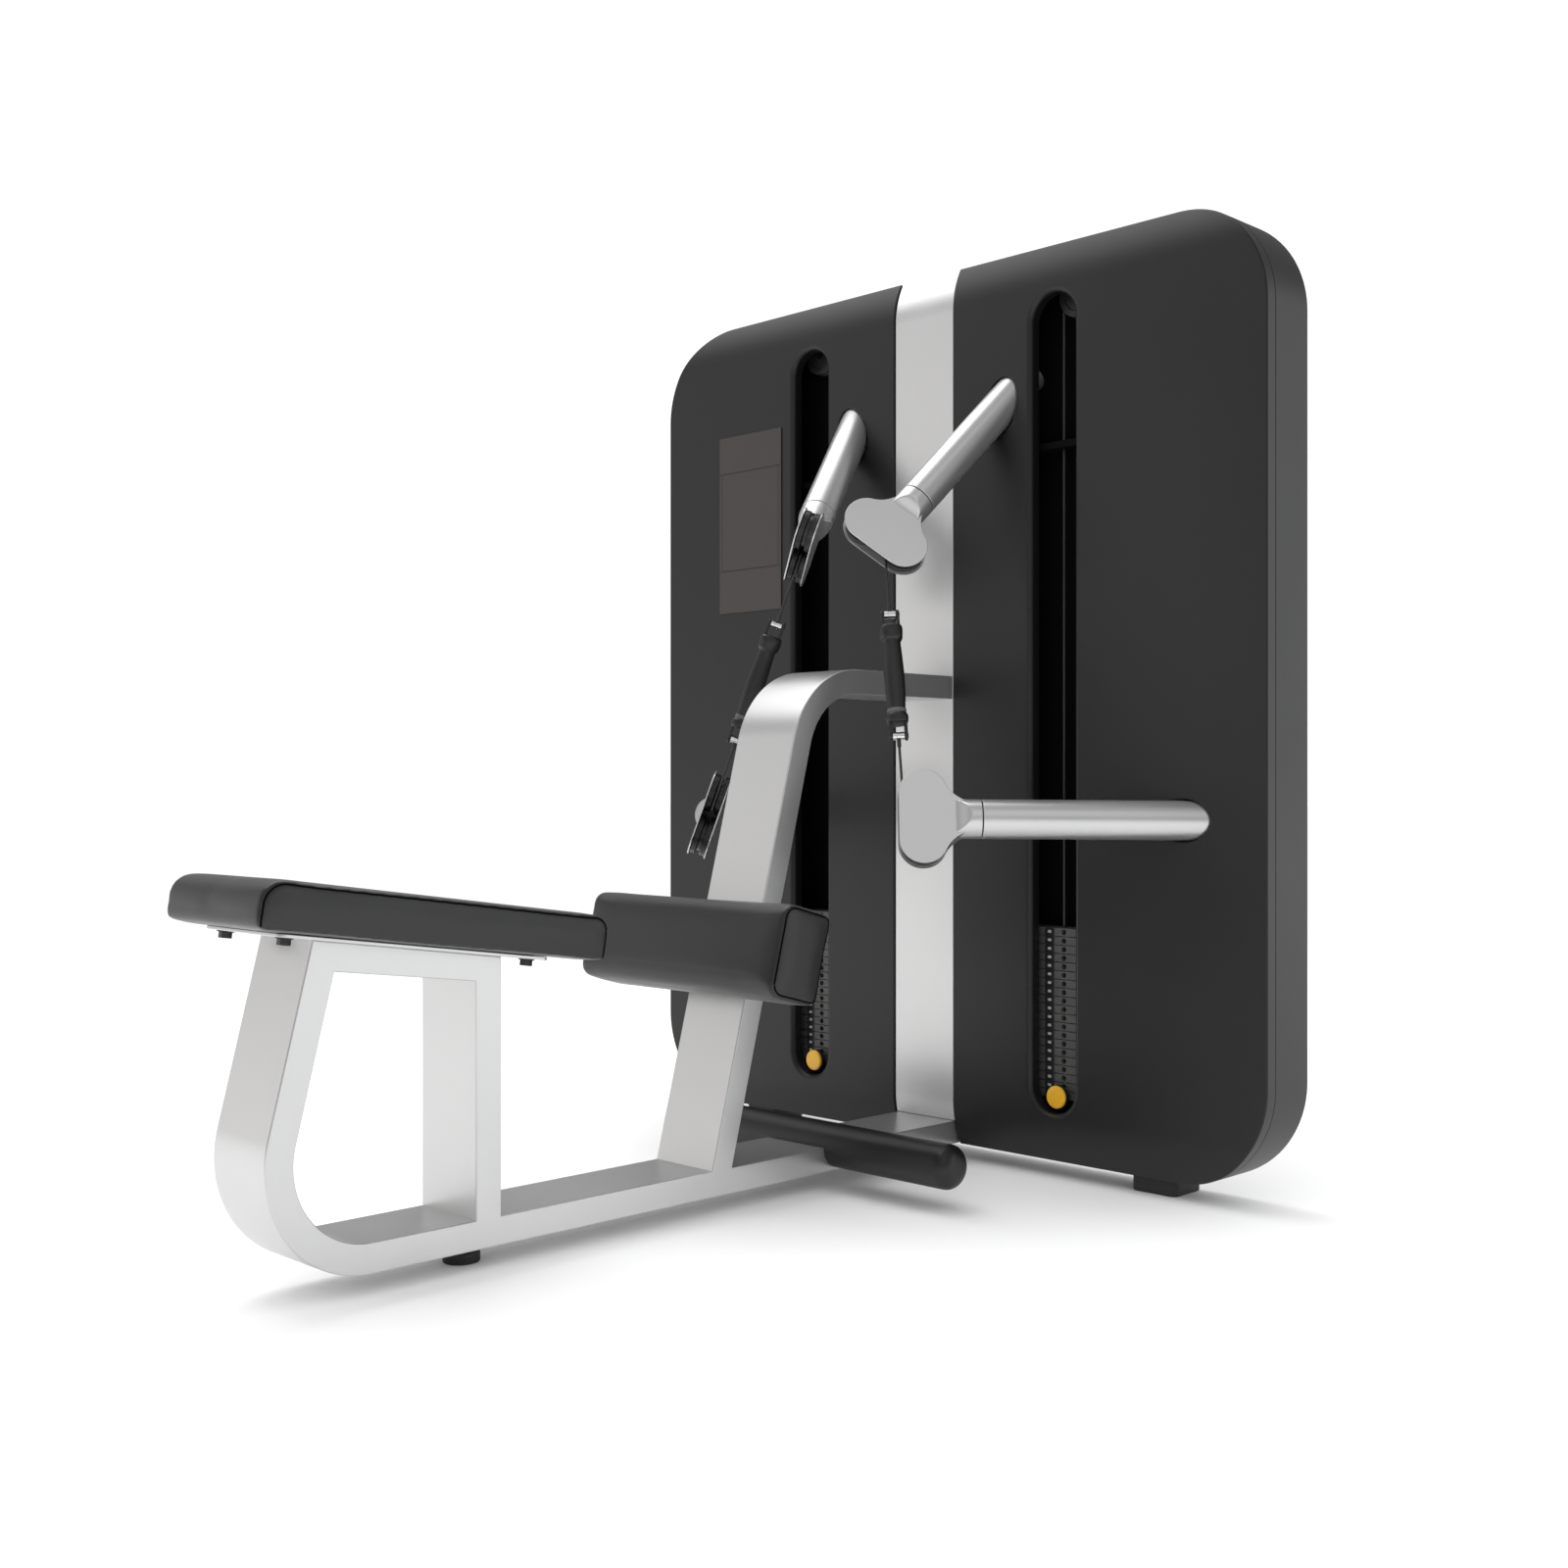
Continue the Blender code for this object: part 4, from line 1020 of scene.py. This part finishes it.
def grown(name, tree, values, material):
    """An object made by a tree with the given named values, as a plain mesh."""
    holder = bpy.data.objects.new(name, bpy.data.meshes.new(name))
    bpy.context.scene.collection.objects.link(holder)
    modifier = holder.modifiers.new("grow", "NODES")
    modifier.node_group = tree
    for item in tree.interface.items_tree:
        if item.item_type == "SOCKET" and item.in_out == "INPUT" and item.name in values:
            modifier[item.identifier] = values[item.name]
    mesh = plain_mesh(holder)
    bpy.data.objects.remove(holder)
    return link(name, mesh, material)


REPEAT = repeat_tree()


# %% One plate, and the two stacks
def plate_pattern(half, front, back, thick):
    """One plate about its own hole: a step on one side makes room for the labels."""
    step_x = -0.0275
    outline = [(-half, front + 0.006), (step_x, front + 0.006), (step_x + 0.002, front), (half, front),
               (half, back), (-half, back)]
    mesh = slab(outline, [], -thick / 2, thick / 2, 0.0010, lambda u, v, d: Vector((u, v, d)), 2)
    piece = link("plate_pattern", mesh, IRON)
    facing = Matrix.Rotation(-pi / 2, 4, "X")
    bore = [(0, front - 0.01), (0.0068, front - 0.01), (0.0068, front - 0.0002), (0.0054, front + 0.0014),
            (0.0054, front + 0.042), (0, front + 0.042)]
    carve(piece, turned(bore, facing, 20))
    return shaded(piece)


def weight_stack(side_name):
    low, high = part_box(f"{side_name}_weight_stack")
    centre = Vector(((low.x + high.x) / 2, 0, low.z + (PLATE_PITCH - PLATE_SPLIT) / 2))
    pattern = plate_pattern((high.x - low.x) / 2, low.y, high.y, PLATE_PITCH - PLATE_SPLIT - 0.0004)
    values = {"Copies": PLATE_COUNT, "Pitch": PLATE_PITCH, "Start": centre, "Pattern": pattern,
              "Finish": IRON}
    plates = shaded(grown(f"{side_name}_plates", REPEAT, values, IRON))
    bpy.data.objects.remove(pattern)
    settle(plates, f"{side_name}_stack", "plate_iron", f"{side_name}_weight_stack")
    strip_x = centre.x - 0.041
    top = high.z - 0.001
    face = low.y + 0.0052
    outline = [(strip_x - 0.0125, low.z + 0.001), (strip_x + 0.0125, low.z + 0.001), (strip_x + 0.0125, top),
               (strip_x - 0.0125, top)]
    mesh = slab(outline, [], face - 0.0012, face + 0.0006, 0.0004, lambda u, v, d: Vector((u, d, v)))
    settle(shaded(link(f"{side_name}_label_strip", mesh, NYLON)), f"{side_name}_stack", "plate_iron")
    square = [(-0.0045, -0.0029), (0.0045, -0.0029), (0.0045, 0.0029), (-0.0045, 0.0029)]
    mesh = slab(square, [], face - 0.0018, face - 0.0008, 0.0003, lambda u, v, d: Vector((u, d, v)), 2)
    pattern = shaded(link("label_pattern", mesh, LABEL))
    start = Vector((strip_x, 0, centre.z))
    values = {"Copies": PLATE_COUNT, "Pitch": PLATE_PITCH, "Start": start, "Pattern": pattern,
              "Finish": LABEL}
    labels = grown(f"{side_name}_labels", REPEAT, values, LABEL)
    bpy.data.objects.remove(pattern)
    settle(shaded(labels), f"{side_name}_stack", "plate_iron")


# %% Pins, rods, lifting cables and top pulleys
def selector_pin(side_name):
    low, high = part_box(f"{side_name}_selector_pin")
    facing = Matrix.Translation(((low.x + high.x) / 2, low.y, (low.z + high.z) / 2))
    facing = facing @ Matrix.Rotation(-pi / 2, 4, "X")
    knob = [(0, 0.0006), (0.010, 0.0002), (0.0205, 0.0004), (0.0236, 0.0014), (0.0250, 0.0034),
            (0.0252, 0.0064),
            (0.0244, 0.0072), (0, 0.0072)]
    piece = shaded(link(f"{side_name}_knob_cap", turned(knob, facing, 56), YELLOW), 60)
    settle(piece, f"{side_name}_selector", "yellow_knob", f"{side_name}_selector_pin")
    # The collar is near-black: partly a real dark collar, partly painted shade on the knob's side.
    collar = [(0, 0.0072), (0.0240, 0.0072), (0.0246, 0.0080), (0.0246, 0.0190), (0.0232, 0.0202),
              (0, 0.0202)]
    piece = shaded(link(f"{side_name}_knob_collar", turned(collar, facing, 48), KNOB_COLLAR_AND_SHADE))
    settle(piece, f"{side_name}_selector", "yellow_knob")
    shaft = [(0, 0.0202), (0.0043, 0.0202), (0.0043, 0.0635), (0.0030, 0.0650), (0, 0.0650)]
    piece = shaded(link(f"{side_name}_pin_shaft", turned(shaft, facing, 24), STEEL))
    settle(piece, f"{side_name}_selector", "bright_steel")


def upright(name, node, material, slot, body="station", rings=2, segments=24):
    """A round bar or rope that fills an upright node's box."""
    low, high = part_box(node)
    radius = (high.x - low.x) / 2
    base = Matrix.Translation(((low.x + high.x) / 2, (low.y + high.y) / 2, low.z))
    height = high.z - low.z
    edge = min(0.001, radius * 0.3)
    profile = [(0, 0), (radius - edge, 0), (radius, edge)]
    profile += [(radius, height * i / rings) for i in range(1, rings)]
    profile += [(radius, height - edge), (radius - edge, height), (0, height)]
    piece = shaded(link(name, turned(profile, base, segments), material))
    settle(piece, body, slot, node)
    return piece


def top_pulley(side_name):
    low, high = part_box(f"{side_name}_top_pulley")
    centre = (low + high) / 2
    rim = (high.x - low.x) / 2
    groove = 0.0352
    profile = [(0.0064, -0.010), (0.014, -0.010), (0.015, -0.008), (0.030, -0.008), (0.032, -0.010),
               (rim - 0.001, -0.010),
               (rim, -0.009), (groove + 0.002, -0.0055), (groove, -0.0045)]
    profile += [(r, -h) for r, h in reversed(profile)]
    matrix = Matrix.Translation(centre) @ Matrix.Rotation(-pi / 2, 4, "X")
    piece = shaded(link(f"{side_name}_top_wheel_moulding", turned(profile, matrix, 56, closed=True), NYLON))
    settle(piece, f"{side_name}_top_wheel", "pulley_plastic", f"{side_name}_top_pulley")


for side_name in ("left", "right"):
    weight_stack(side_name)
    selector_pin(side_name)
    # The guide rods are steel, but take the near-black dull finish: painted shade, as dark as the inside of
    # the windows.
    for rod in ("inner", "outer"):
        node = f"{side_name}_{rod}_guide_rod"
        upright(f"{node}_bar", node, DARK_PAINT_AND_PAINTED_SHADE, "bright_steel")
    node = f"{side_name}_stack_cable"
    low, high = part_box(node)
    rope = upright(f"{node}_rope", node, CABLE, "cable", rings=40, segments=16)
    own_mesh(rope)
    top_pulley(side_name)
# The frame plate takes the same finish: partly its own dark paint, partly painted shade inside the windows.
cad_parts["frame_plate"].data.materials.clear()
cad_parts["frame_plate"].data.materials.append(DARK_PAINT_AND_PAINTED_SHADE)

# %% [markdown]
# ## The bench frame
# The bench is welded from flat rectangular tube, bent in two big radii, and the welds are ground flush, so it
# reads as one continuous loop with two windows. It is drawn as one outline with a hole and given width, with
# the tube's own small corner radius all round.

# %% Outline of the welded frame
def seat_underside(y):
    return SEAT_FRONT[1] + SEAT_SLOPE * (SEAT_FRONT[0] - y)


def leg_top(foot):
    """Where a line up the tail leg from foot meets the seat plate."""
    y, z = foot
    rise = (seat_underside(y) - 0.0003 - z) / (1 + SEAT_SLOPE * TAIL_SLOPE)
    return (y + TAIL_SLOPE * rise, z + rise)


def welded_outline():
    lean = atan(COLUMN_SLOPE)
    across = TUBE / cos(lean)
    corner_y = COLUMN_Y + COLUMN_SLOPE * (COLUMN_TOP - BAR_TOP)
    turn = pi / 2 - lean
    bend_centre = (corner_y + BEND * tan(turn / 2), COLUMN_TOP - BEND)
    column_stop = 180 - lean * 180 / pi
    tail_stop = 180 - atan(TAIL_SLOPE) * 180 / pi
    tower_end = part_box("base_bar")[1].y - DATUM.y
    strip_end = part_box("inclined_column")[1].y - DATUM.y
    outer = arc(TAIL_CENTRE, BEND, 270, tail_stop, 40)
    outline = [(tower_end, BAR_BOTTOM)] + outer + [leg_top(outer[-1])]
    outline += [(POST[1], seat_underside(POST[1]) - 0.0003), (POST[1], BAR_TOP), (COLUMN_Y, BAR_TOP)]
    outline += arc(bend_centre, BEND, column_stop, 90, 40) + [(strip_end, COLUMN_TOP),
                                                              (strip_end, COLUMN_TOP - TUBE)]
    outline += arc(bend_centre, BEND - TUBE, 90, column_stop, 40) + [(COLUMN_Y + across, BAR_TOP),
                                                                     (tower_end, BAR_TOP)]
    return outline


def frame_window():
    tail_stop = 180 - atan(TAIL_SLOPE) * 180 / pi
    depth = 0.048
    inner = arc(TAIL_CENTRE, BEND - TUBE, 270, tail_stop, 36)
    shoulder = leg_top(inner[-1])
    low = shoulder[1] - depth
    corner = (inner[-1][0] + TAIL_SLOPE * (low - inner[-1][1]), low)
    return inner + [corner, (POST[0], seat_underside(POST[0]) - depth), (POST[0], BAR_TOP)]


def bench_frame():
    def place(u, v, depth):
        return Vector((depth, DATUM.y + u, v))

    mesh = slab(welded_outline(), [frame_window()], -TUBE_HALF, TUBE_HALF, 0.0026, place, 3)
    piece = shaded(link("welded_bench_frame", mesh, SILVER), 40)
    settle(piece, "station", "silver_paint", "base_bar", "tail_leg", "seat_rail", "seat_post",
           "inclined_column")


bench_frame()

# %% [markdown]
# ## Seat plate, bolts and feet
# The seat stands on a folded steel plate, held by four flanged bolts from below. One bolt is drawn, and a
# second small tree sets it at the four corners of a grid.

# %% Seat plate
SEAT_FRAME = Matrix.Translation(DATUM + Vector((0, *SEAT_FRONT))) @ Matrix.Rotation(-atan(SEAT_SLOPE), 4, "X")


def seat_plate():
    half, length, thick = SEAT_PLATE
    radius = 0.012
    corners = arc((half - radius, -length + radius), radius, -90, 0, 6) + arc((half - radius, -radius),
                                                                              radius, 0, 90, 6)
    corners += arc((-half + radius, -radius), radius, 90, 180, 6)
    corners += arc((-half + radius, -length + radius), radius, 180, 270, 6)
    mesh = slab(corners, [], 0, thick, 0.0012, lambda u, v, d: SEAT_FRAME @ Vector((u, v, d)))
    settle(shaded(link("seat_base_plate", mesh, SILVER)), "station", "silver_paint", "seat_plate")


seat_plate()


# %% Four flanged bolts
def corners_tree():
    sockets = (("Across", "NodeSocketFloat"), ("Along", "NodeSocketFloat"), ("Pattern", "NodeSocketObject"),
               ("Finish", "NodeSocketMaterial"))
    tree, given = new_tree("four_corners", sockets)
    grid = tree.nodes.new("GeometryNodeMeshGrid")
    grid.inputs["Vertices X"].default_value = 2
    grid.inputs["Vertices Y"].default_value = 2
    tree.links.new(given.outputs["Across"], grid.inputs["Size X"])
    tree.links.new(given.outputs["Along"], grid.inputs["Size Y"])
    return copies_on(tree, given, grid.outputs["Mesh"])


def seat_bolts():
    flange = turned([(0, 0), (0.0140, 0), (0.0148, -0.0008), (0.0146, -0.0018), (0.0120, -0.0026),
                     (0, -0.0026)],
                    Matrix.Identity(4), 36)
    pattern = link("bolt_pattern", flange, BOLT_BLACK)
    hexagon = arc((0, 0), 0.0112, 0, 300, 5)
    head_mesh = slab(hexagon, [], -0.0125, -0.0020, 0.0008, lambda u, v, d: Vector((u, v, d)), 2)
    carve(pattern, head_mesh, "UNION")
    shaded(pattern)
    values = {"Across": 0.194, "Along": 0.485, "Pattern": pattern, "Finish": BOLT_BLACK}
    bolts = grown("seat_flange_bolts", corners_tree(), values, BOLT_BLACK)
    bpy.data.objects.remove(pattern)
    bolts.data.transform(SEAT_FRAME @ Matrix.Translation((0, -0.2725, -0.0004)))
    nodes = [f"seat_bolt_{number}" for number in range(1, 5)]
    settle(shaded(bolts), "station", "black_bolt", *nodes)


seat_bolts()


# %% Feet
def tower_foot(side_name):
    low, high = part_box(f"{side_name}_base_foot")
    radius = 0.016
    corners = arc((high.x - radius, low.y + radius), radius, -90, 0,
                  8) + arc((high.x - radius, high.y - radius), radius, 0, 90, 8)
    corners += arc((low.x + radius, high.y - radius), radius, 90, 180, 8)
    corners += arc((low.x + radius, low.y + radius), radius, 180, 270, 8)
    mesh = slab(corners, [], 0, high.z, 0.0035, lambda u, v, d: Vector((u, v, d)), 4)
    settle(shaded(link(f"{side_name}_foot_block", mesh, FOOT)), "station", "foot_rubber",
           f"{side_name}_base_foot")


def bench_foot():
    low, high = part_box("bench_foot")
    base = Matrix.Translation(((low.x + high.x) / 2, (low.y + high.y) / 2, 0))
    radius = (high.x - low.x) / 2
    profile = [(0, high.z), (0.019, high.z), (0.020, high.z - 0.001), (0.020, 0.026), (0.0215, 0.0235),
               (radius - 0.003, 0.021),
               (radius - 0.0008, 0.019), (radius, 0.0165)]
    for ridge in range(3):
        z = 0.0145 - ridge * 0.0040
        profile += [(radius, z), (radius - 0.0010, z - 0.0006), (radius - 0.0010, z - 0.0014),
                    (radius, z - 0.0020)]
    profile += [(radius, 0.0030), (radius - 0.0010, 0.0008), (radius - 0.003, 0), (0, 0)]
    settle(shaded(link("bench_foot_pad", turned(profile, base, 56), FOOT)), "station", "foot_rubber",
           "bench_foot")


for side_name in ("left", "right"):
    tower_foot(side_name)
bench_foot()

# %% [markdown]
# ## Cushions
# A cushion is foam under a tight skin of vinyl: a wrap that goes over the top and round the ends, and a flat
# panel sewn in at each side. The skin is blown up a little with Blender's cloth, so it crowns and its edges
# pull in, and is then pressed in along the seams, where the thread holds it down.

# %% Blow up a cushion
def spread(values, edges, rounds):
    """Each point takes the mean of its own value and its neighbours', again and again."""
    count = np.zeros((len(values), 1))
    np.add.at(count, edges[:, 0], 1)
    np.add.at(count, edges[:, 1], 1)
    for _ in range(rounds):
        total = np.zeros_like(values)
        np.add.at(total, edges[:, 0], values[edges[:, 1]])
        np.add.at(total, edges[:, 1], values[edges[:, 0]])
        values = values * 0.4 + total / count * 0.6
    return values


def places(mesh):
    found = np.empty(len(mesh.vertices) * 3)
    mesh.vertices.foreach_get("co", found)
    return found.reshape(-1, 3)


def blown(name, mesh, home, low, high, voxel=0.0045, pressure=4.0, frames=20, cap=0.0035):
    """A cushion skin: remeshed, inflated as cloth, and fitted between low and high in its own frame."""
    piece = link(name, mesh, VINYL)
    remesh = piece.modifiers.new("remesh", "REMESH")
    remesh.mode = "VOXEL"
    remesh.voxel_size = voxel
    piece.data = plain_mesh(piece)
    piece.modifiers.clear()
    edges = np.array([edge.vertices[:] for edge in piece.data.edges])
    start = places(piece.data)
    rest = spread(start, edges, 2)
    cloth = piece.modifiers.new("skin", "CLOTH")
    cloth.settings.use_pressure = True
    cloth.settings.uniform_pressure_force = pressure
    cloth.settings.quality = 5
    cloth.settings.tension_stiffness = 15
    cloth.settings.compression_stiffness = 15
    cloth.settings.bending_stiffness = 4
    cloth.settings.effector_weights.gravity = 0
    cloth.point_cache.frame_start = 1
    cloth.point_cache.frame_end = frames
    for number in range(1, frames + 1):
        bpy.context.scene.frame_set(number)
    swollen = places(plain_mesh(piece))
    piece.modifiers.clear()
    bpy.context.scene.frame_set(1)
    moved = swollen - start
    lengths = np.linalg.norm(moved, axis=1, keepdims=True)
    moved *= np.minimum(1, cap / np.maximum(lengths, 1e-9))
    moved = spread(moved, edges, 30)
    print(name, "swelled by up to", round(float(np.linalg.norm(moved, axis=1).max()) * 1000, 2), "mm")
    rest = rest + moved
    piece.data.vertices.foreach_set("co", rest.ravel())
    subdivision = piece.modifiers.new("fine", "SUBSURF")
    subdivision.levels = subdivision.render_levels = 1
    piece.data = plain_mesh(piece)
    piece.modifiers.clear()
    piece.data.transform(home)
    local = places(piece.data)
    least, most = local.min(axis=0), local.max(axis=0)
    local = np.array(low) + (local - least) / (most - least) * (np.array(high) - np.array(low))
    piece.data.vertices.foreach_set("co", local.ravel())
    piece.data.transform(home.inverted())
    return piece


def seam_distance(path, point):
    best = None
    for one, two in zip(path, path[1:]):
        line = two - one
        share = max(0, min(1, (point - one).dot(line) / line.length_squared))
        gap = (one + line * share - point).length
        best = gap if best is None else min(best, gap)
    return best


def pressed(piece, paths, width=0.0070, depth=0.0016):
    """Presses the skin in along its seams."""
    lows = [[min(p[i] for p in path) - width for i in range(3)] for path in paths]
    highs = [[max(p[i] for p in path) + width for i in range(3)] for path in paths]
    for vertex in piece.data.vertices:
        gap = width
        for path, low, high in zip(paths, lows, highs):
            if all(low[i] <= vertex.co[i] <= high[i] for i in range(3)):
                gap = min(gap, seam_distance(path, vertex.co))
        if gap < width:
            share = (1 - (gap / width) ** 2) ** 2
            vertex.co -= vertex.normal * depth * share


def seam_cord(name, piece, paths, radius=0.0017):
    """A thin welt that lies in the seams."""
    faces = [polygon.vertices[:] for polygon in piece.data.polygons]
    tree = BVHTree.FromPolygons([vertex.co.copy() for vertex in piece.data.vertices], faces)
    work = bmesh.new()
    for path in paths:
        points = []
        for one, two in zip(path, path[1:]):
            steps = max(1, int((two - one).length / 0.006))
            points += [one.lerp(two, i / steps) for i in range(steps)]
        points.append(path[-1])
        resting = [tree.find_nearest(point)[0] for point in points]
        layers = []
        for i, point in enumerate(resting):
            ahead = resting[min(i + 1, len(resting) - 1)] - resting[max(i - 1, 0)]
            frame_at = aim(point, ahead)
            turns = [2 * pi * k / 8 for k in range(8)]
            layers.append([work.verts.new(frame_at @ Vector((radius * cos(t), radius * sin(t),
                                                             0))) for t in turns])
        join_rings(work, layers)
        work.faces.new(layers[0])
        work.faces.new(layers[-1])
    return shaded(link(name, mesh_of(work), THREAD), 60)


# %% Seat cushion
def rounded_profile(low, high, radii, steps=10):
    """A box outline with its own radius at each corner, from the lower right, anticlockwise."""
    (u0, v0), (u1, v1) = low, high
    lower_right, upper_right, upper_left, lower_left = radii
    return (
        arc((u1 - lower_right, v0 + lower_right), lower_right, -90, 0, steps)
        + arc((u1 - upper_right, v1 - upper_right), upper_right, 0, 90, steps)
        + arc((u0 + upper_left, v1 - upper_left), upper_left, 90, 180, steps)
        + arc((u0 + lower_left, v0 + lower_left), lower_left, 180, 270, steps)
    )


def seat_cushion():
    half, length, thick = SEAT_PAD
    swell = 0.003
    base = SEAT_PLATE[2] + 0.0003
    back, front = SEAT_PAD_OVERHANG - length, SEAT_PAD_OVERHANG
    radii = (0.010, 0.026, 0.040, 0.012)
    outline = rounded_profile((back + swell, base), (front - swell, base + thick - swell), radii)
    mesh = slab(outline, [], -half + swell, half - swell, 0.006,
                lambda u, v, d: SEAT_FRAME @ Vector((d, u, v)), 4)
    piece = blown("seat_cushion", mesh, SEAT_FRAME.inverted(), (-half, back, base),
                  (half, front, base + thick))
    ring = rounded_profile((back + 0.006, base - 0.02), (front - 0.006, base + thick - 0.006), radii, 8)
    path = [(front - 0.006, base + 0.002)] + [p for p in ring[9:27]] + [(back + 0.006, base + 0.002)]
    seams = [[SEAT_FRAME @ Vector((side * (half - 0.0005), u, v)) for u, v in path] for side in (-1, 1)]
    pressed(piece, seams)
    cord = seam_cord("seat_seam", piece, seams)
    settle(shaded(piece, 80), "station", "upholstery", "seat_pad")
    settle(cord, "station", "upholstery")


seat_cushion()


# %% Knee cushion
def knee_cushion():
    half, depth, height = KNEE_PAD
    y = COLUMN_Y + COLUMN_SLOPE * (KNEE_PAD_Z - BAR_TOP)
    at = Matrix.Translation(DATUM + Vector((0, y, KNEE_PAD_Z))) @ Matrix.Rotation(-atan(COLUMN_SLOPE), 4, "X")
    swell = 0.003
    back = -0.0003
    radii = (0.016, 0.016, 0.026, 0.026)
    outline = rounded_profile((-depth + swell, -height / 2 + swell), (back, height / 2 - swell), radii)
    mesh = slab(outline, [], -half + swell, half - swell, 0.008, lambda u, v, d: at @ Vector((d, u, v)), 5)
    low, high = (-half, -depth, -height / 2), (half, back, height / 2)
    piece = blown("knee_cushion", mesh, at.inverted(), low, high)
    ring = rounded_profile((-depth + 0.008, -height / 2 + 0.008), (back - 0.006, height / 2 - 0.008), radii,
                           8)
    ring = ring + ring[:1]
    seams = [[at @ Vector((side * (half - 0.0008), u, v)) for u, v in ring] for side in (-1, 1)]
    pressed(piece, seams)
    cord = seam_cord("knee_seam", piece, seams)
    settle(shaded(piece, 80), "station", "upholstery", "knee_pad")
    settle(cord, "station", "upholstery")


knee_cushion()


# %% Foot roller
def foot_roller():
    low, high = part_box("foot_roller")
    centre = (low + high) / 2
    radius = (high.y - low.y) / 2
    half = (high.x - low.x) / 2
    end = 0.030
    profile = [(0, half)]
    profile += [(radius - end + end * sin(radians(a)), half - end + end * cos(radians(a))) for a in range(0,
        91, 9)]
    profile += [(radius, half - end - (half - end) * i / 12) for i in range(1, 12)]
    profile += [(radius, 0)] + [(r, -h) for r, h in reversed(profile)]
    matrix = Matrix.Translation(centre) @ Matrix.Rotation(pi / 2, 4, "Y")
    piece = link("foot_roller_pad", turned(profile, matrix, 64), FOAM)
    notch = slab([(-0.1, 0.0), (0.1, 0.0), (0.1, BAR_TOP + 0.0004), (-0.1, BAR_TOP + 0.0004)], [],
                 -TUBE_HALF - 0.0015, TUBE_HALF + 0.0015, 0.0001,
                 lambda u, v, d: Vector((d, centre.y + u, v)), 1)
    carve(piece, notch)
    settle(shaded(piece, 50), "station", "roller_foam", "foot_roller")


foot_roller()

# %% [markdown]
# ## Studio
# A white sweep under a white room. Metal shows what it reflects, so the room is dimmer for reflections than
# for light, and large soft panels overhead, in front and behind give the tubes their bright bands.

# %% The studio's values
ROOM = 1.14
ROOM_SEEN = 0.36
FLOOR_SPAN = 60.0
LENS = 40.70
SENSOR_WIDTH = 36.0
CAMERA_STAND = (2.678, -3.134, 0.862)
PLAIN_LIGHT = (1, 1, 1)
WARM_LIGHT = (1.0, 0.975, 0.945)
COOL_LIGHT = (0.955, 0.98, 1.0)
PANELS = (
    ("overhead_panel", (-1.6, 0.2, 5.0), (5.0, 4.0), 2.2, PLAIN_LIGHT),
    ("front_left_panel", (-5.2, -5.4, 2.0), (6.0, 5.0), 0.60, WARM_LIGHT),
    ("rear_right_panel", (5.6, 5.4, 2.0), (7.0, 5.0), 1.15, COOL_LIGHT),
    ("camera_side_panel", (4.4, -3.2, 4.9), (4.4, 4.4), 0.45, PLAIN_LIGHT),
)


# %% Floor, lights and camera
def white_room():
    """A room that lights everything white and evenly, and is grey in reflections."""
    world = bpy.data.worlds.new("white_room")
    world.use_nodes = True
    tree = world.node_tree
    path = tree.nodes.new("ShaderNodeLightPath")
    mixed = tree.nodes.new("ShaderNodeMix")
    mixed.data_type = "RGBA"
    mixed.inputs[6].default_value = (ROOM, ROOM, ROOM, 1)
    mixed.inputs[7].default_value = (ROOM_SEEN, ROOM_SEEN, ROOM_SEEN * 1.02, 1)
    tree.links.new(path.outputs["Is Glossy Ray"], mixed.inputs[0])
    tree.links.new(mixed.outputs[2], tree.nodes["Background"].inputs["Color"])
    tree.nodes["Background"].inputs["Strength"].default_value = 1.0
    bpy.context.scene.world = world


def studio():
    span = FLOOR_SPAN
    mesh = bpy.data.meshes.new("studio_floor")
    mesh.from_pydata([(-span, -span, 0), (span, -span, 0), (span, span, 0), (-span, span, 0)], [],
                     [(0, 1, 2, 3)])
    pale = Finish("studio_floor", (0.90, 0.90, 0.90), 0.9, Specular_IOR_Level=0.0)
    pale.feed("Roughness", 0.85 + pale.noise(2.0) * 0.1)
    link("studio_floor", mesh, pale.material)
    white_room()
    for name, place, size, radiance, colour in PANELS:
        data = bpy.data.lights.new(name, "AREA")
        data.shape = "RECTANGLE"
        data.size, data.size_y = size
        data.energy = radiance * pi * size[0] * size[1]
        data.color = colour
        lamp = bpy.data.objects.new(name, data)
        lamp.matrix_world = aim(Vector(place), Vector(place) - Vector((0, -0.1, 0.9)))
        bpy.context.scene.collection.objects.link(lamp)
    bpy.context.scene.view_settings.view_transform = "Standard"


def camera():
    data = bpy.data.cameras.new("studio_camera")
    data.lens = LENS
    data.sensor_width = SENSOR_WIDTH
    made = bpy.data.objects.new("studio_camera", data)
    made.location = DATUM + Vector(CAMERA_STAND)
    made.rotation_euler = (radians(90), 0, radians(45))
    bpy.context.scene.collection.objects.link(made)
    bpy.context.scene.camera = made


studio()
camera()
